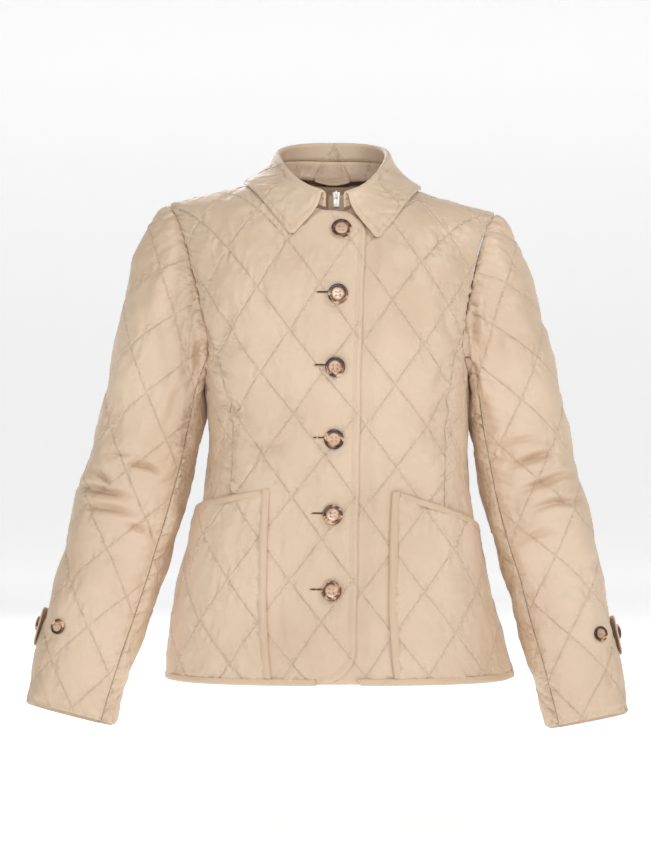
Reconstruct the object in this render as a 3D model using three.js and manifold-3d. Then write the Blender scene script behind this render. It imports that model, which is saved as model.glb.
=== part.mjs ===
// A fitted women's quilted jacket as it hangs when worn: front overlap with six buttons over a hidden zip,
// turn-down collar on a stand, set-in two-piece sleeves with cuff tabs, and two large patch pockets.
// Millimetres, +Z up, the front faces -Y, the wearer's right arm is at -X. The origin is the middle of the neck
// opening at shoulder height. Each cloth piece is cut flat from diamond-quilted cloth and wrapped on its form.
import * as THREE from "three";
import { mergeVertices } from "three/addons/utils/BufferGeometryUtils.js";
import Module from "manifold-3d";

const wasm = await Module();
wasm.setup();

// Driving dimensions of the cloth and its quilting
const WALL = 2.4; // thickness of the wadded cloth at a stitch line
const PUFF = 1.9; // how far a diamond's middle rises above the stitch lines
const SEAM_GAP = 0.4; // gap between two cloth pieces at a seam
const SEAM_FADE = 13; // the quilting flattens over this distance beside a seam
const QUILT = { width: 74, height: 96.6, cells: 4 }; // one diamond, and its grid cells each way
const CLEAR = 0.35; // gap between pieces that lie on each other

// Rings of the body form, from the hem up to the chest
const BODY_RINGS = [
  { z: -583, half: 202.5, front: 131, back: 114, shift: 3 },
  { z: -540, half: 195, front: 129, back: 114, shift: -1 },
  { z: -492, half: 185, front: 125, back: 112, shift: -3.5 },
  { z: -444, half: 175, front: 120, back: 108, shift: -3 },
  { z: -400, half: 165.5, front: 115, back: 103, shift: -2 },
  { z: -360, half: 157.5, front: 110, back: 97, shift: 0 },
  { z: -305, half: 153, front: 107, back: 91, shift: 1.5 },
  { z: -265, half: 154.5, front: 112, back: 94, shift: 1.5 },
  { z: -229, half: 158, front: 120, back: 99, shift: 0 },
  { z: -170, half: 163, front: 128, back: 105, shift: 0 },
];
const HEM_Z = -583;
const CHEST_Z = -170; // above this ring the form closes towards the shoulder line
const TOP_Z = -24; // height of the shoulder line at the shoulder point
const PLAN_POWER = 2.5; // squareness of the rings in plan
const FRONT_POWER = 2.05; // squareness of the upper chest, seen from the side
const BACK_POWER = 2.6;
const SHOULDER = { half: 197, point: 195, top: 34, slope: 0.291, soft: 40, spread: 1.3 };
const CLOTH_LINE_X = 110; // cloth lengths over the shoulder are measured this far from the centre

// Neck seam in plan
const NECK = { half: 66, front: 90, back: 54 };

// Armhole from the shoulder point to the underarm: ring height, and degrees forward and back of the side line
const ARMHOLE = [
  { level: -24, front: 9, back: 9 },
  { level: -50, front: 17, back: 15 },
  { level: -72, front: 18, back: 16 },
  { level: -98, front: 18.3, back: 16.5 },
  { level: -126, front: 19, back: 17.5 },
  { level: -151, front: 21, back: 19.5 },
  { level: -172, front: 23, back: 22 },
  { level: -192, front: 22.5, back: 22.5 },
  { level: -207, front: 18.5, back: 18.5 },
  { level: -219, front: 12, back: 12 },
  { level: -226, front: 6, back: 6 },
  { level: -229, front: 0, back: 0 },
];
const PANEL_LEVEL = -151; // where the side panels' seams leave the armhole

// Side panel seams: height, and distance from the centre in front and at the back
const PANEL_SEAMS = [
  { z: -583, front: 143, back: 136 },
  { z: -520, front: 137, back: 130 },
  { z: -444, front: 131, back: 124 },
  { z: -360, front: 126.5, back: 117 },
  { z: -300, front: 126, back: 116 },
  { z: -260, front: 129, back: 121 },
  { z: -228, front: 134, back: 129 },
  { z: -193, front: 144, back: 142 },
  { z: -170, front: 152, back: 152.5 },
];

// The line of the buttons leans a little: height and sideways place
const BUTTON_LINE = [
  { z: -590, x: -11 },
  { z: -480, x: -3.5 },
  { z: -390, x: -4 },
  { z: -300, x: -5.5 },
  { z: -214, x: -1.2 },
  { z: -130, x: 4.8 },
  { z: -54, x: 10.3 },
  { z: -20, x: 11.5 },
];
const OVERLAP = { over: 30, under: 28, cornerWide: 46, cornerTall: 42, topCorner: 26 };
const BUTTONS = [
  { z: -54, lift: 0.3 },
  { z: -131, lift: 0.8 },
  { z: -215, lift: 0.8 },
  { z: -299, lift: 1.2 },
  { z: -387, lift: 1.2 },
  { z: -475, lift: 1.2 },
];
const BUTTON = { radius: 11.7, thick: 3.6, dish: 1.3, rim: 2.4, hole: 1.05, pitch: 2.3 };
const CUFF_BUTTON = { radius: 9, thick: 3.2, dish: 1, rim: 1.9, hole: 0.9, pitch: 1.8 };

// Patch pockets: distance of the front edge from the body's centre, and heights of the mouth
const POCKETS = {
  right: { edge: 81, frontTop: -357, backTop: -392, gape: 1.2 },
  left: { edge: 65, frontTop: -360, backTop: -432, gape: 0.8 },
};
const POCKET_WALL = 2;
const POCKET_PUFF = 1.7;
const POCKET_LIFT = 1.1; // from the flattened panel to the pocket's back
const BINDING = { width: 8.5, thick: 1.1 };
const HEM_BAND = { width: 6.5, thick: 0.9 };

// Sleeve rings: height and place of the centre, half width across and half depth, square to the arm
const SLEEVES = {
  right: [
    { z: -272, x: 220.5, y: 2, half: 61, depth: 52 },
    { z: -330, x: 234.5, y: 0, half: 62.5, depth: 51 },
    { z: -387, x: 251, y: -3, half: 63, depth: 50 },
    { z: -445, x: 267, y: -8, half: 61, depth: 48 },
    { z: -502, x: 284.5, y: -15, half: 59.5, depth: 46 },
    { z: -560, x: 301, y: -24, half: 56.5, depth: 43 },
    { z: -626, x: 318, y: -35, half: 53, depth: 40 },
  ],
  left: [
    { z: -278, x: 216, y: 2, half: 56.5, depth: 51 },
    { z: -335, x: 226.5, y: 0, half: 57.5, depth: 50 },
    { z: -392, x: 240, y: -3, half: 58.5, depth: 49 },
    { z: -450, x: 256, y: -8, half: 57, depth: 47 },
    { z: -508, x: 269, y: -15, half: 54, depth: 45 },
    { z: -566, x: 283.5, y: -24, half: 51.5, depth: 42 },
    { z: -634, x: 297, y: -35, half: 48, depth: 39 },
  ],
};
const SLEEVE_SEAMS = { front: 138, back: -130 }; // degrees from the top of the arm, forward positive
const SLEEVE_POWER = 2.15;
const CAP = { reach: 0.17, settle: 0.42, under: 0.12 }; // shape of the sleeve head's curve
const TAB = { up: 92, half: 23, point: 11, lift: 2.2, wall: 2, gape: 1.6 };
const CUFF_BUTTON_ANGLE = 52; // degrees forward of the top of the arm

// Fold line of the collar from the centre back to the front end, and the neck seam's turn below it
const COLLAR_FOLD = [
  { step: 0, x: 0, y: 59, z: 61, neck: -90 },
  { step: 1, x: 30, y: 53, z: 60, neck: -63 },
  { step: 2, x: 54, y: 34, z: 55, neck: -37 },
  { step: 3, x: 66, y: 6, z: 46, neck: -8 },
  { step: 4, x: 62, y: -27, z: 31, neck: 20 },
  { step: 5, x: 50, y: -56, z: 13, neck: 45 },
  { step: 6, x: 33, y: -79, z: -1, neck: 66 },
  { step: 7, x: 13, y: -93, z: -10, neck: 81 },
];
// Outer edge of the collar in plan, from the centre back to the point
const COLLAR_EDGE = [
  { step: 0, x: 0, y: 73 },
  { step: 1, x: 36, y: 69 },
  { step: 2, x: 72, y: 53 },
  { step: 3, x: 98, y: 26 },
  { step: 4, x: 107, y: -4 },
  { step: 5, x: 98, y: -43 },
  { step: 6, x: 77, y: -81 },
  { step: 7, x: 51, y: -108 },
];
const COLLAR = { thick: 2.4, puff: 1.5, seam: 0.7, fold: 3.6, lift: 4, centre: 2.5, joined: 0.62, wide: 74 };

const COLOURS = { cloth: 0xd8bd99, trim: 0xd2b692, horn: 0x8a6243, metal: 0xc9c7c2, thread: 0xc9ab84 };

// Posture: the shoulders sit a little to the wearer's right, and the right one a little higher
const POSTURE = { aside: -5.5, tilt: -0.03, foot: -290, head: -50, collar: 12, collarTop: 60 };

// Small mathematics
const degrees = Math.PI / 180;
const mix = (a, b, t) => a + (b - a) * t;
const clamp = (x, low, high) => Math.min(high, Math.max(low, x));
const smooth = (a, b, x) => {
  const t = clamp((x - a) / (b - a), 0, 1);
  return t * t * (3 - 2 * t);
};
const power = (x, p) => Math.sign(x) * Math.abs(x) ** p;
const steps = (n) => Array.from({ length: n + 1 }, (_, i) => i / n);

// A smooth function through a table's rows: column `value` against column `key`, which rises down the rows.
function through(rows, key, value) {
  const x = rows.map((row) => row[key]);
  const y = rows.map((row) => row[value]);
  const last = rows.length - 1;
  const slope = rows.map((_, i) => {
    const a = Math.max(0, i - 1);
    const b = Math.min(last, i + 1);
    return (y[b] - y[a]) / (x[b] - x[a]);
  });
  return (at) => {
    if (at <= x[0]) return y[0] + slope[0] * (at - x[0]);
    if (at >= x[last]) return y[last] + slope[last] * (at - x[last]);
    const i = x.findIndex((edge) => edge > at) - 1;
    const d = x[i + 1] - x[i];
    const t = (at - x[i]) / d;
    const t2 = t * t;
    const t3 = t2 * t;
    return (
      y[i] * (2 * t3 - 3 * t2 + 1) + slope[i] * d * (t3 - 2 * t2 + t) +
      y[i + 1] * (3 * t2 - 2 * t3) + slope[i + 1] * d * (t3 - t2)
    );
  };
}

// The worn position of a point of the even, upright form
function posed(p) {
  const high = smooth(POSTURE.foot, POSTURE.head, p.z);
  const level = 1 - smooth(POSTURE.collar, POSTURE.collarTop, p.z);
  return new THREE.Vector3(p.x + POSTURE.aside * high, p.y, p.z + POSTURE.tilt * p.x * high * level);
}

// The body form
const bodyHalf = through(BODY_RINGS, "z", "half");
const bodyFront = through(BODY_RINGS, "z", "front");
const bodyBack = through(BODY_RINGS, "z", "back");
const bodyShift = through(BODY_RINGS, "z", "shift");
const chest = { half: bodyHalf(CHEST_Z), front: bodyFront(CHEST_Z), back: bodyBack(CHEST_Z) };
const ridgeZ = (x) => SHOULDER.top - SHOULDER.slope * Math.hypot(x, SHOULDER.soft);

// A ring of the form. Above the chest, height runs from 0 at the chest to 1 at the shoulder line.
function ring(level) {
  if (level <= CHEST_Z) {
    return { half: bodyHalf(level), front: bodyFront(level), back: bodyBack(level), zAt: () => level };
  }
  const height = Math.min(1, (level - CHEST_Z) / (TOP_Z - CHEST_Z));
  const closing = (squareness) => Math.max(0, 1 - height ** squareness) ** (1 / squareness);
  return {
    half: mix(chest.half, SHOULDER.half, height ** SHOULDER.spread),
    front: chest.front * closing(FRONT_POWER),
    back: chest.back * closing(BACK_POWER),
    zAt: (x) => mix(CHEST_Z, ridgeZ(x), height),
  };
}

// A point of a ring, at an angle of 90 degrees in front, 0 at the side and -90 behind.
function ringPoint(r, angle) {
  const x = r.half * power(Math.cos(angle), 2 / PLAN_POWER);
  const s = power(Math.sin(angle), 2 / PLAN_POWER);
  return new THREE.Vector3(x, s > 0 ? -r.front * s : -r.back * s, r.zAt(x));
}
const angleAt = (r, x) => Math.acos(clamp(x / r.half, 0, 1) ** (PLAN_POWER / 2));

// Lengths along a ring from the centre front to the centre back.
const ringSteps = 120;
const ringCache = new Map();
function measured(level) {
  const key = level.toFixed(4);
  if (!ringCache.has(key)) {
    const r = ring(level);
    const angles = steps(ringSteps).map((f) => (90 - 180 * f) * degrees);
    const points = angles.map((a) => ringPoint(r, a));
    const along = [0];
    points.forEach((p, i) => i && along.push(along[i - 1] + p.distanceTo(points[i - 1])));
    ringCache.set(key, { r, angles, points, along, total: along[ringSteps], side: along[ringSteps / 2] });
  }
  return ringCache.get(key);
}
function lengthAtAngle(level, angle) {
  const { along } = measured(level);
  const at = clamp(((90 - angle / degrees) / 180) * ringSteps, 0, ringSteps - 1e-9);
  const i = Math.floor(at);
  return mix(along[i], along[i + 1], at - i);
}
function pointAtLength(level, length) {
  const { points, along, total } = measured(level);
  const turned = length < 0 || length > total;
  const s = length < 0 ? -length : length > total ? 2 * total - length : length;
  let low = 0;
  let high = ringSteps;
  while (high - low > 1) {
    const middle = (low + high) >> 1;
    if (along[middle] <= s) low = middle;
    else high = middle;
  }
  const p = points[low].clone().lerp(points[high], (s - along[low]) / (along[high] - along[low] || 1));
  if (turned) p.x = -p.x;
  return p;
}

// Cloth height: equal to z up to the chest, then measured over the shoulder's curve.
function clothScale(face) {
  const count = 300;
  const squareness = face === "front" ? FRONT_POWER : BACK_POWER;
  const rows = steps(count).map((f) => {
    const height = Math.sin((f * Math.PI) / 2) ** (2 / squareness);
    const level = mix(CHEST_Z, TOP_Z, height);
    const r = ring(Math.max(level, CHEST_Z + 1e-6));
    const a = angleAt(r, CLOTH_LINE_X);
    return { level, p: ringPoint(r, face === "front" ? a : -a) };
  });
  const length = [CHEST_Z];
  rows.forEach((row, i) => i && length.push(length[i - 1] + row.p.distanceTo(rows[i - 1].p)));
  const find = (list, at) => {
    const i = clamp(list.findIndex((x) => x > at) - 1, 0, count - 1);
    return list[count] <= at ? count : i + (at - list[i]) / (list[i + 1] - list[i] || 1);
  };
  const levels = rows.map((row) => row.level);
  const read = (list, at) => mix(list[Math.floor(at)], list[Math.min(count, Math.floor(at) + 1)], at % 1);
  return {
    top: length[count],
    toCloth: (level) => (level <= CHEST_Z ? level : read(length, find(levels, level))),
    toLevel: (v) => (v <= CHEST_Z ? v : read(levels, find(length, v))),
  };
}
const cloth = { front: clothScale("front"), back: clothScale("back") };

// A point of the body form for a flat point of a piece. side is -1 for the wearer's right, 1 for the left.
function bodyPoint(face, side, u, v) {
  const scale = cloth[face === "back" ? "back" : "front"];
  const over = v > scale.top;
  const level = scale.toLevel(over ? 2 * scale.top - v : v);
  const { total, side: sideLength } = measured(level);
  const along = { front: u, side: sideLength + u, back: total - u }[face];
  const p = pointAtLength(level, along);
  if (over) p.y = -p.y;
  p.x = p.x * side + (level < CHEST_Z ? bodyShift(level) : 0);
  return p;
}

// Wraps a flat point, at height w above the stitch lines, on a form given as a function of u and v.
// outward is -1 on a form that mirrors the flat piece.
function wrapped(form, outward) {
  const reach = 1.5;
  const place = (u, v, w) => {
    const across = form(u + reach, v).sub(form(u - reach, v));
    const up = form(u, v + reach).sub(form(u, v - reach));
    const normal = across.cross(up).normalize().multiplyScalar(outward);
    return form(u, v).addScaledVector(normal, w);
  };
  return { place, mirrors: outward < 0 };
}
const turnedOver = (triangles) => Array.from(triangles, (_, i) => triangles[i + [0, 1, -1][i % 3]]);
const bodyWrap = (face, side) =>
  wrapped((u, v) => bodyPoint(face, side, u, v), face === "back" ? -side : side);

// Height of the quilting: a pillow between the two families of slanting stitch lines.
function pillow(lattice, u, v) {
  const a = (u - lattice.u) / QUILT.width + (v - lattice.v) / QUILT.height;
  const b = (u - lattice.u) / QUILT.width - (v - lattice.v) / QUILT.height;
  return Math.abs(Math.sin(Math.PI * a) * Math.sin(Math.PI * b)) ** 0.6;
}

// Solids
function solidOf(geometry) {
  const bare = new THREE.BufferGeometry();
  const flat = geometry.index ? geometry.toNonIndexed() : geometry;
  bare.setAttribute("position", flat.getAttribute("position").clone());
  const merged = mergeVertices(bare, 1e-4);
  const triangles = [];
  for (let i = 0; i < merged.index.count; i += 3) {
    const [a, b, c] = merged.index.array.slice(i, i + 3);
    if (a !== b && b !== c && a !== c) triangles.push(a, b, c);
  }
  return new wasm.Manifold(
    new wasm.Mesh({
      numProp: 3,
      vertProperties: merged.attributes.position.array,
      triVerts: new Uint32Array(triangles),
    }),
  );
}
function geometryOf(positions, triangles) {
  const geometry = new THREE.BufferGeometry();
  geometry.setAttribute("position", new THREE.BufferAttribute(new Float32Array(positions), 3));
  geometry.setIndex(new THREE.BufferAttribute(new Uint32Array(triangles), 1));
  return geometry;
}

function meshOf(solid) {
  const { vertProperties, triVerts, numProp, numVert } = solid.getMesh();
  const positions = [];
  for (let i = 0; i < numVert; i++) positions.push(...vertProperties.subarray(i * numProp, i * numProp + 3));
  return geometryOf(positions, triVerts);
}

// A flat slab of quilted cloth: a grid that follows the stitch lines on top, and below a grid whose cells are
// `tall` times as high. It is arched so slightly that no grid point is lost when it is cut.
const ARCH = 2e-4;
const SLAB = 20;
const arch = (u, v) => ARCH * (u * u + v * v);
function quiltSlab(box, lattice, tall) {
  const n = QUILT.cells;
  const du = QUILT.width / n;
  const dv = QUILT.height / n;
  const low = [Math.floor((box.min.x - lattice.u) / du) - 1, Math.floor((box.min.y - lattice.v) / dv / 2) * 2 - 2];
  const high = [Math.ceil((box.max.x - lattice.u) / du) + 1, Math.ceil((box.max.y - lattice.v) / dv / 2) * 2 + 2];
  const positions = [];
  const triangles = [];
  const index = new Map();
  const at = (i, j, top) => {
    const key = `${i},${j},${top}`;
    if (!index.has(key)) {
      const u = lattice.u + i * du;
      const v = lattice.v + j * dv;
      index.set(key, positions.length / 3);
      positions.push(u, v, arch(u, v) + (top ? SLAB : 0));
    }
    return index.get(key);
  };
  const onLine = (a) => ((a % n) + n) % n === 0;
  for (let i = low[0]; i < high[0]; i++) {
    for (let j = low[1]; j < high[1]; j++) {
      const [a, b, c, d] = [at(i, j, 1), at(i + 1, j, 1), at(i + 1, j + 1, 1), at(i, j + 1, 1)];
      const falling = onLine(i + j + 1) || (!onLine(i - j) && (i + j) % 2 === 0);
      triangles.push(...(falling ? [a, b, d, b, c, d] : [a, b, c, a, c, d]));
    }
    for (let j = low[1]; j < high[1]; j += tall) {
      const [a, b, c, d] = [at(i, j, 0), at(i + 1, j, 0), at(i + 1, j + tall, 0), at(i, j + tall, 0)];
      triangles.push(a, c, b, a, d, c);
    }
    const [p, q, r, t] = [at(i, low[1], 1), at(i + 1, low[1], 1), at(i, low[1], 0), at(i + 1, low[1], 0)];
    triangles.push(r, t, p, t, q, p);
    const [e, f, g, h] = [at(i, high[1], 1), at(i + 1, high[1], 1), at(i, high[1], 0), at(i + 1, high[1], 0)];
    triangles.push(h, g, f, g, e, f);
  }
  for (const [i, turned] of [[low[0], true], [high[0], false]]) {
    for (let j = low[1]; j < high[1]; j += tall) {
      const fan = [at(i, j, 0), at(i, j + tall, 0)];
      for (let k = tall; k >= 0; k--) fan.push(at(i, j + k, 1));
      for (let k = 1; k < fan.length - 1; k++) {
        triangles.push(...(turned ? [fan[0], fan[k + 1], fan[k]] : [fan[0], fan[k], fan[k + 1]]));
      }
    }
  }
  return solidOf(geometryOf(positions, triangles));
}

// Moves each corner of a closed outline inwards by half a seam gap.
function inset(outline, distance) {
  const area = THREE.ShapeUtils.area(outline);
  const round = area < 0 ? [...outline].reverse() : outline;
  return round.map((p, i) => {
    const before = round[(i + round.length - 1) % round.length];
    const after = round[(i + 1) % round.length];
    const a = new THREE.Vector2(before.y - p.y, p.x - before.x).normalize();
    const b = new THREE.Vector2(p.y - after.y, after.x - p.x).normalize();
    const way = a.add(b);
    return p.clone().addScaledVector(way, distance / Math.max(0.5, 0.5 * way.lengthSq()));
  });
}
function distanceTo(outline, u, v) {
  let best = Infinity;
  outline.forEach((p, i) => {
    const q = outline[(i + 1) % outline.length];
    const dx = q.x - p.x;
    const dy = q.y - p.y;
    const t = clamp(((u - p.x) * dx + (v - p.y) * dy) / (dx * dx + dy * dy || 1), 0, 1);
    best = Math.min(best, Math.hypot(u - p.x - t * dx, v - p.y - t * dy));
  });
  return best;
}

// Cuts a piece out of quilted cloth along its outline and wraps it on its form.
function quiltedPiece({
  outline,
  lattice,
  wrap,
  wall = WALL,
  puff = PUFF,
  tall = 2,
  gap = SEAM_GAP,
  level = () => 0,
  pressed = () => 1,
}) {
  const edge = inset(outline, gap / 2);
  const box = new THREE.Box2().setFromPoints(edge);
  const cutter = new THREE.ExtrudeGeometry(new THREE.Shape(edge), { depth: 200, bevelEnabled: false, steps: 1 });
  cutter.translate(0, 0, -60);
  const cut = quiltSlab(box, lattice, tall).intersect(solidOf(cutter)).getMesh();
  const stride = cut.numProp;
  const positions = [];
  for (let i = 0; i < cut.numVert; i++) {
    const [u, v, w] = cut.vertProperties.subarray(i * stride, i * stride + 3);
    const away = distanceTo(edge, u, v);
    const outside = w - arch(u, v) > SLAB / 2;
    const raised = puff * pillow(lattice, u, v) * smooth(0, SEAM_FADE, away) * pressed(u, v);
    const below = -wall * mix(0.5, 1, smooth(0, 12, away));
    positions.push(...wrap.place(u, v, level(u, v) + (outside ? raised : below)).toArray());
  }
  return geometryOf(positions, wrap.mirrors ? turnedOver(cut.triVerts) : cut.triVerts);
}

// A closed wall over a grid: point(a, b, w) with a and b from 0 to 1 and w from the inside to the outside.
function gridWall(columns, rows, point, inside, outside, flip = false) {
  const positions = [];
  const triangles = [];
  const at = (i, j, k) => (i * (rows + 1) + j) * 2 + k;
  for (const a of steps(columns)) {
    for (const b of steps(rows)) {
      positions.push(...point(a, b, inside).toArray(), ...point(a, b, outside).toArray());
    }
  }
  const quad = (a, b, c, d) => triangles.push(...(flip ? [a, c, b, a, d, c] : [a, b, c, a, c, d]));
  for (let i = 0; i < columns; i++) {
    for (let j = 0; j < rows; j++) {
      quad(at(i, j, 1), at(i + 1, j, 1), at(i + 1, j + 1, 1), at(i, j + 1, 1));
      quad(at(i, j, 0), at(i, j + 1, 0), at(i + 1, j + 1, 0), at(i + 1, j, 0));
    }
    quad(at(i, 0, 0), at(i + 1, 0, 0), at(i + 1, 0, 1), at(i, 0, 1));
    quad(at(i, rows, 1), at(i + 1, rows, 1), at(i + 1, rows, 0), at(i, rows, 0));
  }
  for (let j = 0; j < rows; j++) {
    quad(at(0, j, 0), at(0, j, 1), at(0, j + 1, 1), at(0, j + 1, 0));
    quad(at(columns, j, 1), at(columns, j, 0), at(columns, j + 1, 0), at(columns, j + 1, 1));
  }
  return geometryOf(positions, triangles);
}

const group = new THREE.Group();
const finishes = {
  cloth: new THREE.MeshStandardMaterial({ color: COLOURS.cloth, roughness: 0.62, metalness: 0 }),
  trim: new THREE.MeshStandardMaterial({ color: COLOURS.trim, roughness: 0.6, metalness: 0 }),
  horn: new THREE.MeshStandardMaterial({ color: COLOURS.horn, roughness: 0.3, metalness: 0 }),
  metal: new THREE.MeshStandardMaterial({ color: COLOURS.metal, roughness: 0.3, metalness: 1 }),
};
// Cloth is posed point by point; a hard piece is moved whole to its posed place.
function worn(geometry) {
  const at = geometry.getAttribute("position");
  for (let i = 0; i < at.count; i++) {
    const p = posed(new THREE.Vector3().fromBufferAttribute(at, i));
    at.setXYZ(i, p.x, p.y, p.z);
  }
  return geometry;
}
const addCloth = (name, geometry, finish) => add(name, worn(geometry), finish);
function addHard(name, geometry, finish, heart) {
  const { x, y, z } = posed(heart).sub(heart);
  return add(name, geometry.translate(x, y, z), finish);
}
function add(name, geometry, finish) {
  geometry.computeVertexNormals();
  const mesh = new THREE.Mesh(geometry, finishes[finish].clone());
  mesh.name = name;
  group.add(mesh);
  return mesh;
}
const flat = (u, v) => new THREE.Vector2(u, v);

// Armhole: evenly measured from the shoulder point (0) to the underarm (1), in front and behind.
function armholeHalf(face) {
  const rows = ARMHOLE.map((row) => ({ level: row.level, angle: row[face] * degrees * (face === "front" ? 1 : -1) }));
  const knots = rows.map((row) => ringPoint(ring(row.level), row.angle));
  let run = 0;
  const marked = rows.map((row, i) => {
    if (i) run += knots[i].distanceTo(knots[i - 1]);
    return { ...row, run };
  });
  const level = through(marked, "run", "level");
  const angle = through(marked, "run", "angle");
  const scale = cloth[face];
  return (share) => {
    const at = share * run;
    const l = clamp(level(at), ARMHOLE.at(-1).level, TOP_Z);
    const a = face === "front" ? Math.max(0, angle(at)) : Math.min(0, angle(at));
    return {
      level: l,
      point: ringPoint(ring(l), a),
      length: lengthAtAngle(l, a),
      v: scale.toCloth(l),
    };
  };
}
const armhole = { front: armholeHalf("front"), back: armholeHalf("back") };
const armholeSteps = steps(20);
const panelShare = {};
for (const face of ["front", "back"]) {
  panelShare[face] = armholeSteps.find((f) => armhole[face](f).level < PANEL_LEVEL);
}

// Side panel seams
const panelHeights = steps(22).map((f) => mix(HEM_Z, CHEST_Z, f));
const panelX = { front: through(PANEL_SEAMS, "z", "front"), back: through(PANEL_SEAMS, "z", "back") };
const panelSeam = (face) =>
  panelHeights.map((z) => {
    const a = angleAt(ring(z), panelX[face](z));
    return { v: z, length: lengthAtAngle(z, face === "front" ? a : -a) };
  });
const panelSeams = { front: panelSeam("front"), back: panelSeam("back") };

// The point of the upper body straight below a place in plan.
function underPlan(x, y) {
  const face = y < 0 ? "front" : "back";
  const full = chest[face];
  const squareness = face === "front" ? FRONT_POWER : BACK_POWER;
  let height = 1;
  for (let i = 0; i < 8; i++) {
    const half = mix(chest.half, SHOULDER.half, height ** SHOULDER.spread);
    const across = (1 - (Math.abs(x) / half) ** PLAN_POWER) ** (1 / PLAN_POWER);
    height = Math.max(0, 1 - (Math.abs(y) / across / full) ** squareness) ** (1 / squareness);
  }
  const level = mix(CHEST_Z, TOP_Z, height);
  return { level, z: ring(level).zAt(x), face };
}
// Neck seam: a plan ellipse dropped on the form. turn is 0 at the shoulder and 90 degrees at the centre.
function neckPoint(face, turn) {
  const x = NECK.half * Math.cos(turn);
  const y = NECK[face] * Math.sin(turn) * (face === "front" ? -1 : 1);
  const { level, z } = underPlan(x, y || (face === "front" ? -1e-6 : 1e-6));
  const a = angleAt(ring(level), x);
  return {
    point: new THREE.Vector3(x, y, z),
    length: lengthAtAngle(level, face === "front" ? a : -a),
    v: cloth[face].toCloth(level),
  };
}

// Cloth height of a place on the centre front, from its height above the origin
function centreCloth(z) {
  if (z <= CHEST_Z) return z;
  return cloth.front.toCloth(mix(CHEST_Z, TOP_Z, (z - CHEST_Z) / (ridgeZ(0) - CHEST_Z)));
}

const leanX = through(BUTTON_LINE, "z", "x");
const neckTurns = steps(9).map((f) => f * 90 * degrees);

// Outline of a front, from the hem's centre up. `centre` gives the front edge's place against the height.
function frontOutline(centre, rounded) {
  const points = [];
  const top = neckPoint("front", 90 * degrees).v;
  if (rounded) {
    const { cornerWide, cornerTall, topCorner } = OVERLAP;
    steps(7).forEach((f) => {
      const a = f * 90 * degrees;
      const v = HEM_Z + cornerTall * (1 - Math.cos(a));
      points.push(flat(centre(v) + cornerWide * (1 - Math.sin(a)), v));
    });
    [-500, -450, -400, -350, -300, -250, -210, -170, -130].forEach((v) => points.push(flat(centre(v), v)));
    steps(6).forEach((f) => {
      const a = f * 90 * degrees;
      const v = top - topCorner * (1 - Math.sin(a));
      points.push(flat(centre(v) + topCorner * (1 - Math.cos(a)), v));
    });
  } else {
    [HEM_Z, -540, -490, -440, -390, -340, -290, -250, -210, -170, -130, -90].forEach((v) =>
      points.push(flat(centre(v), v)),
    );
    points.push(flat(centre(top), top));
  }
  [...neckTurns].reverse().forEach((turn) => {
    const n = neckPoint("front", turn);
    if (n.length > 4) points.push(flat(n.length, n.v));
  });
  const shoulder = armhole.front(0);
  steps(5).slice(1, -1).forEach((f) => {
    const from = neckPoint("front", 0).length;
    points.push(flat(mix(from, shoulder.length, f), cloth.front.top));
  });
  armholeSteps.filter((f) => f <= panelShare.front).forEach((f) => {
    const a = armhole.front(f);
    points.push(flat(a.length, a.v));
  });
  [...panelSeams.front].reverse().forEach((p) => points.push(flat(p.length, p.v)));
  return points;
}

function sideOutline() {
  const points = [];
  const place = (length, v, level) => points.push(flat(length - measured(level).side, v));
  panelSeams.front.forEach((p) => place(p.length, p.v, p.v));
  [...armholeSteps].filter((f) => f >= panelShare.front).forEach((f) => {
    const a = armhole.front(f);
    place(a.length, a.v, a.level);
  });
  [...armholeSteps].reverse().filter((f) => f >= panelShare.back && f < 1).forEach((f) => {
    const a = armhole.back(f);
    place(a.length, cloth.front.toCloth(a.level), a.level);
  });
  [...panelSeams.back].reverse().forEach((p) => place(p.length, p.v, p.v));
  return points;
}

function backOutline() {
  const half = [];
  const place = (length, v, level) => half.push(flat(measured(level).total - length, v));
  panelSeams.back.forEach((p) => place(p.length, p.v, p.v));
  [...armholeSteps].reverse().filter((f) => f <= panelShare.back).forEach((f) => {
    const a = armhole.back(f);
    place(a.length, a.v, a.level);
  });
  const topLevel = TOP_Z;
  steps(5).slice(1, -1).forEach((f) => {
    const from = armhole.back(0).length;
    place(mix(from, neckPoint("back", 0).length, f), cloth.back.top, topLevel);
  });
  neckTurns.forEach((turn) => {
    const n = neckPoint("back", turn);
    place(n.length, n.v, cloth.back.toLevel(n.v));
  });
  const other = half.map((p) => flat(-p.x, p.y)).reverse();
  return [...half.filter((p) => p.x > 0.5), flat(0, half.at(-1).y), ...other.filter((p) => p.x < -0.5)];
}

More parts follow.
